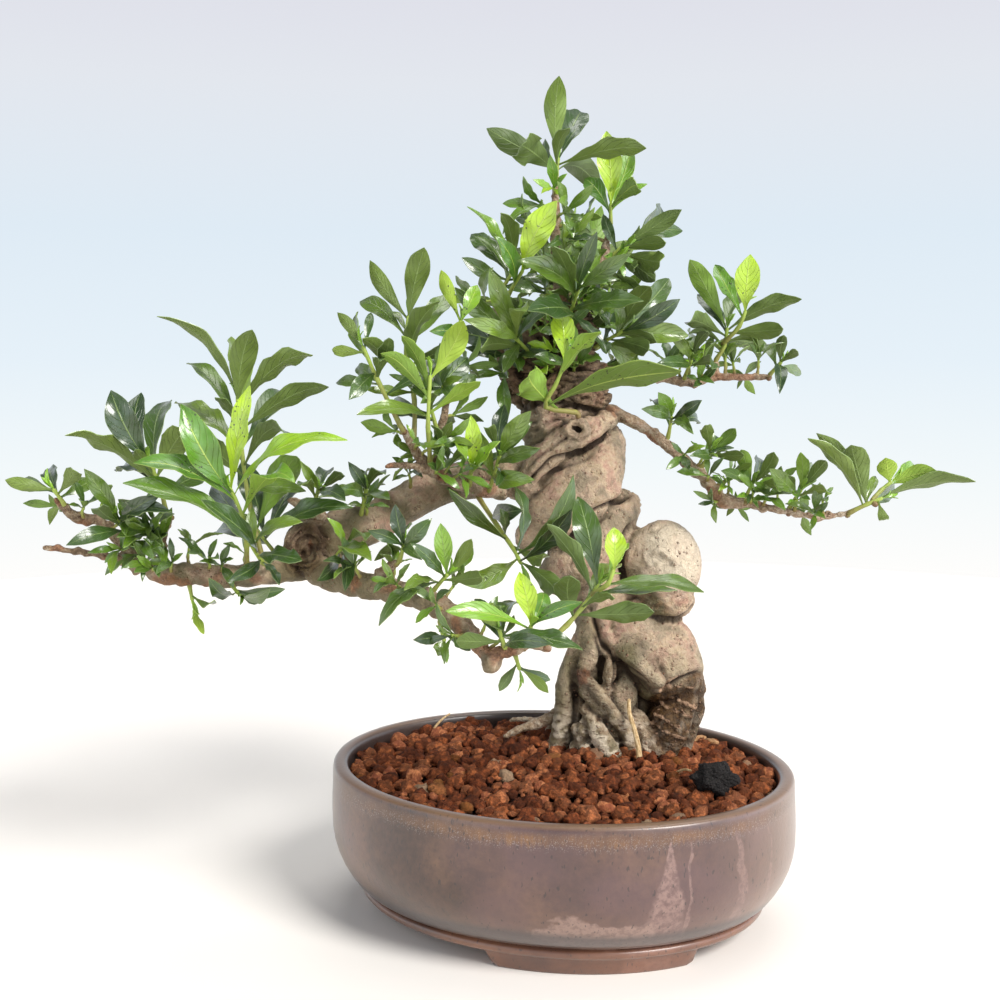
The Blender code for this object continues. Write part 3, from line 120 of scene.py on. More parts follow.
def add_node(tree, kind, inputs=(), output=0, stops=(), **settings):
    """Adds one node with its settings, sets or links its inputs, and gives back one output. A kind
    in capitals is a sum of that name, a row of inputs goes in by order, and text is a hex colour."""
    made = tree.nodes.new("ShaderNodeMath" if kind.isupper() else "ShaderNode" + kind)
    if kind.isupper():
        made.operation = kind
    for name, value in settings.items():
        setattr(made, name, value)
    while stops and len(made.color_ramp.elements) < len(stops):
        made.color_ramp.elements.new(1.0)
    for index, (place, colour) in enumerate(stops):
        made.color_ramp.elements[index].position = place
        made.color_ramp.elements[index].color = srgb(colour)
    for socket, value in (inputs if isinstance(inputs, dict) else dict(enumerate(inputs))).items():
        if isinstance(value, bpy.types.NodeSocket):
            tree.links.new(value, made.inputs[socket])
        else:
            made.inputs[socket].default_value = srgb(value) if isinstance(value, str) else value
    return made.outputs[output]


def shader_socket(shader, name):
    """The shader's input that a plain name such as coat_weight stands for."""
    return shader.inputs[name.replace("_", " ").title().replace("Ior", "IOR")]


def new_material(name, **sockets):
    """A named material with its shader, whose plain sockets are set here."""
    material = bpy.data.materials.new(name)
    material.use_nodes = True
    shader = material.node_tree.nodes["Principled BSDF"]
    for socket, value in sockets.items():
        shader_socket(shader, socket).default_value = value
    return material, material.node_tree, shader


def wire(tree, shader, colour, relief, strength, depth, **others):
    """Leads a colour, a relief of some strength and depth in metres, and others to the shader."""
    bump = add_node(tree, "Bump", {"Strength": strength, "Distance": depth, "Height": relief})
    for socket, value in (("base_color", colour), ("normal", bump), *others.items()):
        tree.links.new(value, shader_socket(shader, socket))


def new_shape(operator, name, **settings):
    """Adds a primitive with nothing else selected, and names it."""
    bpy.ops.object.select_all(action="DESELECT")
    operator(**settings)
    made = bpy.context.object
    made.name = name
    made.data.name = name
    return made


def work(item, kind, **settings):
    """Changes an object for good by one modifier."""
    modifier = item.modifiers.new(kind.lower(), kind)
    for name, value in settings.items():
        setattr(modifier, name, value)
    bpy.context.view_layer.objects.active = item
    bpy.ops.object.modifier_apply(modifier=modifier.name)


def smooth_up_to(item, angle):
    """Shades an object smooth, apart from edges sharper than the angle in degrees."""
    bpy.ops.object.select_all(action="DESELECT")
    item.select_set(True)
    bpy.context.view_layer.objects.active = item
    bpy.ops.object.shade_smooth_by_angle(angle=math.radians(angle))


def lathe_oval(name, profile, segments):
    """An oval turned up ring by ring from its profile of inset and height, capped at both ends."""
    circle = bpy.ops.mesh.primitive_circle_add
    made = new_shape(circle, name, vertices=segments, radius=1.0, fill_type="NGON")
    inset, height = profile[0]
    half = (RIM_HALF_LENGTH - inset, RIM_HALF_WIDTH - inset)
    bpy.ops.object.mode_set(mode="EDIT")
    bpy.ops.mesh.select_all(action="SELECT")
    bpy.ops.transform.resize(value=(half[0], half[1], 1.0), center_override=(0, 0, 0))
    bpy.ops.transform.translate(value=(0, 0, height))
    bpy.ops.mesh.delete(type="ONLY_FACE")
    bpy.ops.mesh.select_all(action="SELECT")
    for inset, level in profile[1:]:
        bpy.ops.mesh.extrude_edges_move(TRANSFORM_OT_translate={"value": (0, 0, level - height)})
        grown = ((RIM_HALF_LENGTH - inset) / half[0], (RIM_HALF_WIDTH - inset) / half[1], 1.0)
        bpy.ops.transform.resize(value=grown, center_override=(0, 0, level))
        height = level
        half = (RIM_HALF_LENGTH - inset, RIM_HALF_WIDTH - inset)
    bpy.ops.mesh.edge_face_add()
    bpy.ops.mesh.select_all(action="DESELECT")
    bpy.ops.mesh.select_non_manifold()
    bpy.ops.mesh.edge_face_add()
    bpy.ops.mesh.select_all(action="SELECT")
    bpy.ops.mesh.normals_make_consistent(inside=False)
    bpy.ops.object.mode_set(mode="OBJECT")
    return made


pot = lathe_oval("glazed_pot", POT_PROFILE + FOOT_PROFILE, POT_SEGMENTS)
for vertex in pot.data.vertices:
    angle = math.degrees(math.atan2(vertex.co.y / RIM_HALF_WIDTH, vertex.co.x / RIM_HALF_LENGTH))
    if vertex.co.z < UNDERSIDE_HEIGHT and vertex.index >= len(POT_PROFILE) * POT_SEGMENTS:
        away = min(abs((angle - foot + 180.0) % 360.0 - 180.0) for foot in FOOT_ANGLES)
        reach = min(max((FOOT_HALF_SPAN - away) / FOOT_END, 0.0), 1.0)
        reach = reach * reach * (3.0 - 2.0 * reach)
        vertex.co.z = UNDERSIDE_HEIGHT - reach * (UNDERSIDE_HEIGHT - vertex.co.z)
    else:
        swell = POT_WOBBLE * noise.noise(vertex.co / WOBBLE_SPREAD)
        vertex.co.x *= 1.0 + swell / RIM_HALF_LENGTH
        vertex.co.y *= 1.0 + swell / RIM_HALF_WIDTH
for side in (-1.0, 1.0):
    drill = new_shape(bpy.ops.mesh.primitive_cylinder_add, "drill", vertices=48, radius=DRAIN_RADIUS,
                      depth=DRILL_LENGTH, location=(side * DRAIN_SPACING, 0, DRILL_LENGTH / 2))
    work(pot, "BOOLEAN", operation="DIFFERENCE", solver="EXACT", object=drill)
    bpy.data.objects.remove(drill)
pot.data.transform(pot_place)
smooth_up_to(pot, POT_SMOOTH_ANGLE)

# Satin stoneware glaze: taupe, purple where it is thin, an iron band that broke ochre under
# the lip, dusty pink runs, and copper brown on the bead and feet. Dark iron specks all over.
# Each run: angle, height and half breadth where it starts, the same where it ends, strength
GLAZE_RUNS = (
    (-50.0, 54.0, 0.2, -50.4, 9.0, 7.6, 0.8),
    (-44.9, 53.0, 0.3, -44.0, 17.0, 0.7, 0.6),
    (-31.2, 54.0, 0.7, -27.6, 9.0, 2.6, 0.55),
    (-19.0, 52.0, 0.3, -17.0, 12.0, 1.2, 0.45),
)
DUSTY_SIDE = 6.0
OCHRE_SIDE = -76.0
BARE_PATCH = (-65.5, 18.6)
BARE_PATCH_HALF = (15.0, 7.6)
glaze, tree, shader = new_material("satin_taupe_glaze", coat_weight=0.8, coat_roughness=0.28, ior=1.5)
place = add_node(tree, "TexCoord", output="Object")
centred = add_node(tree, "Mapping", (place, -pot_centre))
oval = add_node(tree, "Mapping", {0: centred, 3: (1.0 / RIM_HALF_LENGTH, 1.0 / RIM_HALF_WIDTH, 1.0)})
parts = add_node(tree, "SeparateXYZ", (oval,)).node.outputs
turn = add_node(tree, "ARCTAN2", (parts[1], parts[0]))
degrees = add_node(tree, "MULTIPLY", (turn, 180.0 / math.pi))
height = add_node(tree, "MULTIPLY", (parts[2], 1.0 / MM))
drips = add_node(tree, "Mapping", {0: place, 3: (1.0, 1.0, 0.12)})
dashes = add_node(tree, "Mapping", {0: place, 3: (1.0, 1.0, 0.4)})
cloud, patch, wander, fine, streak, salt, specks = (
    add_node(tree, "TexNoise", {"Vector": where, "Scale": scale, "Detail": detail, "Roughness": rough})
    for where, scale, detail, rough in (
        (place, 26.0, 5.0, 0.6), (place, 17.0, 3.0, 0.5), (place, 90.0, 3.0, 0.5), (place, 420.0, 4.0, 0.65),
        (drips, 620.0, 4.0, 0.7), (place, 2200.0, 1.0, 0.5), (dashes, 900.0, 1.0, 0.5)))
base = add_node(tree, "ValToRGB", (cloud,), stops=((0.30, "#39251c"), (0.5, "#5a4034"), (0.72, "#82624a")))
tiny = add_node(tree, "ValToRGB", (fine,), stops=((0.34, "#37302b"), (0.64, "#a29688")))
colour = add_node(
    tree, "Mix", {0: 0.5, 6: base, 7: tiny}, output=2, data_type="RGBA", blend_type="SOFT_LIGHT")
# How far each point lies from the dusty side, the ochre side and the bare patch's middle
dusty, nearness, aside, low = (
    add_node(tree, "ABSOLUTE", (add_node(tree, "ADD", (value, -middle)),))
    for value, middle in ((degrees, DUSTY_SIDE), (degrees, OCHRE_SIDE),
                          (degrees, BARE_PATCH[0]), (height, BARE_PATCH[1])))
purple = add_node(tree, "MapRange", (patch, 0.48, 0.64, 0.0, 0.55))
dusty = add_node(tree, "MapRange", (dusty, 16.0, 46.0, 0.42, 0.0))
warm = add_node(tree, "MapRange", (height, 34.0, 14.0, 0.0, 0.55))
warm = add_node(tree, "MULTIPLY", (warm, cloud))
lip = add_node(tree, "MapRange", (height, 58.2, 59.3, 0.0, 0.65))
# The iron band follows the lip, 3 to 9 mm below it, strongest at the front
edge = add_node(tree, "MULTIPLY_ADD", (streak, 6.0, height))
upper = add_node(tree, "MapRange", (edge, 54.9, 57.0))
top = add_node(tree, "MapRange", (height, 55.6, 57.6, 1.0, 0.0))
band = add_node(tree, "MULTIPLY", (upper, top))
dusky = add_node(tree, "MULTIPLY", (band, 0.4))
nearness = add_node(tree, "MapRange", (nearness, 14.0, 62.0, 0.85, 0.2))
broken = add_node(tree, "MapRange", (wander, 0.44, 0.6, 0.4, 1.0))
break_up = add_node(tree, "MapRange", (streak, 0.36, 0.6, 0.45, 1.0))
for share in (nearness, broken, break_up):
    band = add_node(tree, "MULTIPLY", (band, share))
salt = add_node(tree, "MapRange", (salt, 0.56, 0.70, 0.0, 0.45))
salt_low = add_node(tree, "MapRange", (edge, 53.4, 55.0))
salt_top = add_node(tree, "MapRange", (height, 54.4, 57.5, 1.0, 0.15))
for share in (salt_low, salt_top):
    salt = add_node(tree, "MULTIPLY", (salt, share))
layers = [(purple, "#64494b"), (dusty, "#a08474"), (warm, "#8a6a52"), (lip, "#876b52"),
          (dusky, "#4d3020"), (band, "#82582e"), (salt, "#a8a09c")]
# Each run starts at a point under the lip and widens on its way down
wobble = add_node(tree, "MapRange", (wander, 0.3, 0.7, -1.1, 1.1))
mottled = add_node(tree, "MapRange", (fine, 0.4, 0.54, 0.45, 1.0))
rosy = add_node(tree, "ValToRGB", (fine,), stops=((0.3, "#785a55"), (0.7, "#977a70")))
for angle_top, z_top, half_top, angle_low, z_low, half_low, strength in GLAZE_RUNS:
    fall = add_node(tree, "MapRange", (height, z_top, z_low))
    middle = add_node(tree, "MapRange", (fall, 0.0, 1.0, angle_top, angle_low))
    half = add_node(tree, "MapRange", (fall, 0.0, 1.0, half_top, half_low))
    away = add_node(tree, "SUBTRACT", (degrees, middle))
    away = add_node(tree, "ADD", (away, wobble))
    away = add_node(tree, "ABSOLUTE", (away,))
    away = add_node(tree, "DIVIDE", (away, half))
    run = add_node(tree, "MapRange", (away, 0.75, 1.05, strength, 0.0))
    start = add_node(tree, "MapRange", (height, z_top - 1.0, z_top, 1.0, 0.0))
    for share in (start, mottled):
        run = add_node(tree, "MULTIPLY", (run, share))
    layers.append((run, rosy))
# A ragged pale patch where the glaze pulled back just over the groove
low = add_node(tree, "DIVIDE", (low, BARE_PATCH_HALF[1]))
aside = add_node(tree, "DIVIDE", (aside, BARE_PATCH_HALF[0]))
far = add_node(tree, "MAXIMUM", (low, aside))
ragged = add_node(tree, "MapRange", (wander, 0.35, 0.65, -0.45, 0.45))
far = add_node(tree, "ADD", (far, ragged))
bare = add_node(tree, "MapRange", (far, 0.66, 0.84, 0.8, 0.0))
bare = add_node(tree, "MULTIPLY", (bare, mottled))
# Copper brown bead and feet, dark inside
copper = add_node(tree, "MapRange", (height, 10.2, 11.0, 0.75, 0.0))
copper_tone = add_node(tree, "ValToRGB", (cloud,), stops=((0.35, "#573629"), (0.65, "#84553b")))
flat = add_node(tree, "VectorMath", (oval, (1.0, 1.0, 0.0)), operation="MULTIPLY")
reach = add_node(tree, "VectorMath", (flat,), output="Value", operation="LENGTH")
within = add_node(tree, "MapRange", (reach, 0.000935, 0.000955, 0.8, 0.0))
over_floor = add_node(tree, "MapRange", (height, 12.0, 12.6))
within = add_node(tree, "MULTIPLY", (within, over_floor))
specks = add_node(tree, "MapRange", (specks, 0.67, 0.73, 0.0, 0.7))
layers += [(bare, "#9a7d70"), (copper, copper_tone), (within, "#3f3634"), (specks, "#2b2422")]
for share, tone in layers:
    colour = add_node(tree, "Mix", {0: share, 6: colour, 7: tone}, output=2, data_type="RGBA")
satin = add_node(tree, "MapRange", (cloud, 0.3, 0.7, 0.30, 0.46))
wire(tree, shader, colour, fine, 0.35, 0.0004, roughness=satin)
pot.data.materials.append(glaze)
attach(pot, "root")
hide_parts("pot")

# Drain screens: squares of black moulded polyethylene net over the holes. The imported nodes
# have the right shape and keep it; they get a dull plastic with fine mould grain.


def grained_material(name, scale, detail, rough, stops, strength, depth, stretch=None, **sockets):
    """A material whose tone and relief both follow one noise; gives back that noise too."""
    material, tree, shader = new_material(name, **sockets)
    place = add_node(tree, "TexCoord", output="Object")
    if stretch:
        place = add_node(tree, "Mapping", {0: place, 3: stretch})
    grain = add_node(
        tree, "TexNoise", {"Vector": place, "Scale": scale, "Detail": detail, "Roughness": rough})
    wire(tree, shader, add_node(tree, "ValToRGB", (grain,), stops=stops), grain, strength, depth)
    return material, tree, shader, grain


net, tree, shader, grain = grained_material(
    "black_polyethylene_net", 1600.0, 3.0, 0.5, ((0.3, "#151515"), (0.7, "#262524")), 0.3, 0.0002, ior=1.5)
tree.links.new(add_node(tree, "MapRange", (grain, 0.0, 1.0, 0.5, 0.7)), shader.inputs["Roughness"])
for name in ("drain_screen_left", "drain_screen_right"):
    node_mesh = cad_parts[name].data
    node_mesh.materials.clear()
    node_mesh.materials.append(net)

# Soil: a bed of fired red clay grains, heaped a little round the trunk. The bed is one dark body
# that fills the pot, painted near black as the shade in the gaps between grains, and the grains
# of 2 to 7 mm lie on it, each its own lump.
WALL = 6.4
SOIL_EDGE_HEIGHT = 53.6
SOIL_RISE = 3.4
TRUNK_MOUND = 2.2
MOUND_SPREAD = 38.0
TRUNK_FOOT = (27.0, 22.0)
TREE_TURN = math.radians(20.0)
BED_PROFILE = ((19.0, 14.4), (12.8, 16.6), (8.2, 30.0), (7.2, 46.0), (6.9, 52.6))
BED_SEGMENTS = 96
BED_EDGE_HEIGHT = 54.0
BED_RINGS = 18
BED_RING_STEP = 4.0
BED_SUNK = 2.2
CRUMB_HEIGHT = 1.4
CRUMB_SPREAD = 3.4
GRAIN_SEED = 23
GRAIN_SHAPES = 14
GRAIN_ATTEMPTS = 14
GRAIN_CELL = 7.0
# Each layer: grains tried, smallest and largest half size, height of its centres, fine or
# not, and how close its grains lie as a share of their sizes
GRAIN_LAYERS = (
    (420, 3.0, 4.4, -1.3, 0, 0.86), (560, 2.6, 4.1, 0.3, 1, 0.66), (220, 1.3, 2.2, 0.6, 0, 0.66),
)
GRAIN_FINENESS = ((8, 6), (14, 9))
OCHRE_CORNER = (-20.0, -25.0)


def soil_height(x, y):
    """Height of the bed, in the pot's frame."""
    reach = (x / RIM_HALF_LENGTH) ** 2 + (y / RIM_HALF_WIDTH) ** 2
    trunk = Matrix.Rotation(TREE_TURN, 2) @ Vector(TRUNK_FOOT)
    mound = math.exp(-((Vector((x, y)) - trunk).length / MOUND_SPREAD) ** 2)
    return SOIL_EDGE_HEIGHT + SOIL_RISE * (1.0 - reach) + TRUNK_MOUND * mound


bed_top = [(7.0 + BED_RING_STEP * step, BED_EDGE_HEIGHT) for step in range(BED_RINGS)]
bed = lathe_oval("clay_grain_bed", [*BED_PROFILE, *bed_top], BED_SEGMENTS)
for vertex in bed.data.vertices:
    if vertex.co.z > BED_EDGE_HEIGHT - 1.0:
        crumbs = CRUMB_HEIGHT * noise.noise(vertex.co / CRUMB_SPREAD)
        vertex.co.z = soil_height(vertex.co.x, vertex.co.y) - BED_SUNK + crumbs
bed.data.transform(pot_place)
bed.data.shade_smooth()


def take_apart(item):
    """Points and faces of an object, which is then removed."""
    points = [vertex.co.copy() for vertex in item.data.vertices]
    faces = [tuple(face.vertices) for face in item.data.polygons]
    bpy.data.objects.remove(item)
    return points, faces


def joined(bodies):
    """Points and faces of many bodies as one list of each."""
    points = []
    faces = []
    for body_points, body_faces in bodies:
        start = len(points)
        points += list(body_points)
        faces += [tuple(start + corner for corner in face) for face in body_faces]
    return points, faces


def add_mesh(name, points, faces, place):
    """A mesh object from points in millimetres, put where the place matrix says."""
    mesh = bpy.data.meshes.new(name)
    mesh.from_pydata([tuple(point) for point in points], [], faces)
    mesh.transform(place)
    mesh.shade_smooth()
    made = bpy.data.objects.new(name, mesh)
    bpy.context.scene.collection.objects.link(made)
    return made


def paint(item, name, values):
    """Keeps one colour value for each point of a piece, for its material to read."""
    layer = item.data.color_attributes.new(name, "FLOAT_COLOR", "POINT")
    layer.data.foreach_set("color", np.asarray(values, np.float32).reshape(-1))


# Coarse and fine lumps are shaped from balls, then each shape is a dented copy of its ball
rng = random.Random(GRAIN_SEED)
uv_sphere = bpy.ops.mesh.primitive_uv_sphere_add
grain_shapes = []
for sides, rings in GRAIN_FINENESS:
    ball = new_shape(uv_sphere, "lump", segments=sides, ring_count=rings, radius=1.0)
    lump_points, lump_faces = take_apart(ball)
    shapes = []
    for index in range(GRAIN_SHAPES):
        away = Vector([rng.uniform(-50, 50) for axis in range(3)])
        stretch = np.array([rng.uniform(0.85, 1.25), rng.uniform(0.75, 1.1), rng.uniform(0.65, 0.95)])
        rough = []
        for point in lump_points:
            broad = noise.noise(point * 1.5 + away)
            small = noise.noise(point * 3.8 - away)
            rough.append(1.0 + 0.5 * broad + 0.34 * small + rng.uniform(-0.03, 0.03))
        shapes.append(np.array(lump_points) * np.array(rough)[:, None] * stretch)
    grain_shapes.append((shapes, lump_faces))
placed = []
grid = {}
for count, smallest, largest, sink, fineness, reach in GRAIN_LAYERS:
    for index in range(count):
        for attempt in range(GRAIN_ATTEMPTS):
            size = rng.uniform(smallest, largest)
            turn = rng.uniform(0.0, 2.0 * math.pi)
            out = math.sqrt(rng.random())
            x = (RIM_HALF_LENGTH - WALL - size - 0.2) * out * math.cos(turn)
            y = (RIM_HALF_WIDTH - WALL - size - 0.2) * out * math.sin(turn)
            cell = (int(x // GRAIN_CELL), int(y // GRAIN_CELL))
            near = [grid.get((cell[0] + i, cell[1] + j), ()) for i in (-1, 0, 1) for j in (-1, 0, 1)]
            if all(math.hypot(x - a, y - b) > (size + c) * reach for group in near for a, b, c in group):
                grid.setdefault(cell, []).append((x, y, size))
                placed.append((x, y, size, sink, fineness))
                break
lumps = []
grain_tones = []
for x, y, size, sink, fineness in placed:
    shapes, lump_faces = grain_shapes[fineness]
    shape = shapes[rng.randrange(GRAIN_SHAPES)]
    spin = Matrix.Rotation(rng.uniform(0, 6.28), 3, "Z") @ Matrix.Rotation(rng.uniform(-0.7, 0.7), 3, "X")
    centre = np.array([x, y, soil_height(x, y) + sink + size * 0.25 + rng.uniform(-0.7, 1.0)])
    points = shape @ np.array(spin).T * size + centre
    lumps.append((points, lump_faces))
    pale = rng.uniform(0.3, 1.0) if rng.random() < 0.02 else 0.0
    ochre_share = 0.1 if x < OCHRE_CORNER[0] and y < OCHRE_CORNER[1] else 0.02
    ochre = rng.uniform(0.2, 0.8) if rng.random() < ochre_share else 0.0
    own = rng.random()
    # Painted shade: each grain is darker towards its underside, where the gaps between grains lie in shade
    painted_underside_shade = np.clip(0.45 - 0.9 * (points[:, 2] - centre[2]) / size, 0.0, 1.0)
    grain_tones += [(own, pale, ochre, low_down) for low_down in painted_underside_shade]
grains = add_mesh("clay_grains", *joined(lumps), pot_place)
paint(grains, "grain_tone", grain_tones)

# Fired clay: dull, porous and crumbly. Each grain has its own red brown, a few are ochre
# and a few pale; the pores are near half a millimetre.
clay, tree, shader = new_material("fired_red_clay", roughness=0.92, specular_ior_level=0.25)
place = add_node(tree, "TexCoord", output="Object")
own = add_node(tree, "VertexColor", layer_name="grain_tone")
low_down = own.node.outputs["Alpha"]
own = add_node(tree, "SeparateColor", (own,)).node.outputs
pores = add_node(tree, "TexNoise", {"Vector": place, "Scale": 1100.0, "Detail": 4.0, "Roughness": 0.7})
crumb = add_node(tree, "TexNoise", {"Vector": place, "Scale": 420.0, "Detail": 5.0, "Roughness": 0.65})
base = add_node(tree, "ValToRGB", (own[0],), stops=(
    (0.0, "#6c3d25"), (0.35, "#8f5535"), (0.7, "#ab6d46"), (1.0, "#c98e68")))
dusty = add_node(tree, "ValToRGB", (crumb,), stops=((0.32, "#2c170d"), (0.5, "#7d6352"), (0.66, "#ecd0b6")))
colour = add_node(tree, "Mix", {0: 0.7, 6: base, 7: dusty}, output=2, data_type="RGBA", blend_type="OVERLAY")
# Painted shade on the lower part of every grain
painted_underside_shade = add_node(tree, "MapRange", (low_down, 0.4, 0.95, 0.0, 0.9))
for share, tone in ((own[2], "#96642f"), (own[1], "#b39a7d"), (painted_underside_shade, "#240f07")):
    colour = add_node(tree, "Mix", {0: share, 6: colour, 7: tone}, output=2, data_type="RGBA")
wire(tree, shader, colour, add_node(tree, "MULTIPLY_ADD", (pores, 0.6, crumb)), 1.0, 0.002)
grains.data.materials.append(clay)
# The bed's clay dust is painted near black as the shade in the gaps between the grains
dust_and_gap_shade_clay = grained_material(
    "clay_dust_and_painted_gap_shade", 520.0, 4.0, 0.5, ((0.35, "#160a06"), (0.65, "#371a0e")), 0.8, 0.001, roughness=0.95)[0]
bed.data.materials.append(dust_and_gap_shade_clay)
for piece in (bed, grains):
    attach(piece, "root")
    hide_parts("soil")

# Lava lump: a piece of black cinder, frothy and sharp, that lies on the grains at the
# front right. A much divided ball is dented by its pores.
LAVA_HALF = (8.0, 5.6, 6.0)


def dented_ball(name, fineness, half, dents, node_name, turn):
    """A ball whose reach each way comes from a function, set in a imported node's box."""
    made = new_shape(bpy.ops.mesh.primitive_ico_sphere_add, name, subdivisions=fineness, radius=1.0)
    for vertex in made.data.vertices:
        way = vertex.co.normalized()
        reach = dents(way)
        vertex.co = Vector([way[axis] * reach * half[axis] for axis in range(3)])
    low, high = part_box(node_name)
    spin = Matrix.Rotation(TREE_TURN + math.radians(turn), 4, "Z")
    made.data.transform(Matrix.Translation((low + high) / 2) @ spin @ Matrix.Scale(MM, 4))
    made.data.shade_smooth()
    return made


def cinder_dents(way):
    coarse = noise.noise(way * 1.6 + Vector((4.0, 1.0, 0.0)))
    knobs = noise.noise(way * 4.2 + Vector((9.0, 3.0, 2.0)))
    froth = abs(noise.noise(way * 8.0)) + 0.7 * abs(noise.noise(way * 17.0))
    return 1.04 + 0.4 * coarse + 0.1 * knobs - 0.22 * froth


lava = dented_ball("lava_cinder", 5, LAVA_HALF, cinder_dents, "lava_lump", 0.0)
cinder, tree, shader = new_material("black_cinder", roughness=0.8, specular_ior_level=0.35)
place = add_node(tree, "TexCoord", output="Object")
froth = add_node(tree, "TexVoronoi", {"Vector": place, "Scale": 900.0})
grit = add_node(tree, "TexNoise", {"Vector": place, "Scale": 1500.0, "Detail": 4.0})
tone = add_node(tree, "ValToRGB", (grit,), stops=((0.35, "#070606"), (0.7, "#2e2927")))
wire(tree, shader, tone, add_node(tree, "ADD", (froth, grit)), 1.0, 0.0009)
lava.data.materials.append(cinder)
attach(lava, "root")
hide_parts("lava_lump")

# Bark chips: two broken bits of dry bark behind the trunk's foot, grain along their length.
CHIP_HALF = (4.5, 2.3, 1.5)
chip_bark = grained_material(
    "dry_bark_chip", 700.0, 5.0, 0.7, ((0.3, "#6b4a30"), (0.5, "#a5794f"), (0.75, "#cba77c")), 0.7, 0.0006,
    roughness=0.85)[0]


def chip_dents(way, number):
    broad = noise.noise(way * 2.0 + Vector((number * 7.0, 0, 0)))
    return 1.0 + 0.22 * broad + 0.06 * noise.noise(Vector((way.x * 1.5, way.y * 9.0, way.z * 9.0)))


for index, turn in ((1, 40.0), (2, 115.0)):
    chip = dented_ball("bark_chip_piece_" + str(index), 4, CHIP_HALF, lambda way: chip_dents(way, index),
                       "bark_chip_" + str(index), turn)
    chip.data.materials.append(chip_bark)
    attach(chip, "root")
    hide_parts("bark_chip_" + str(index))

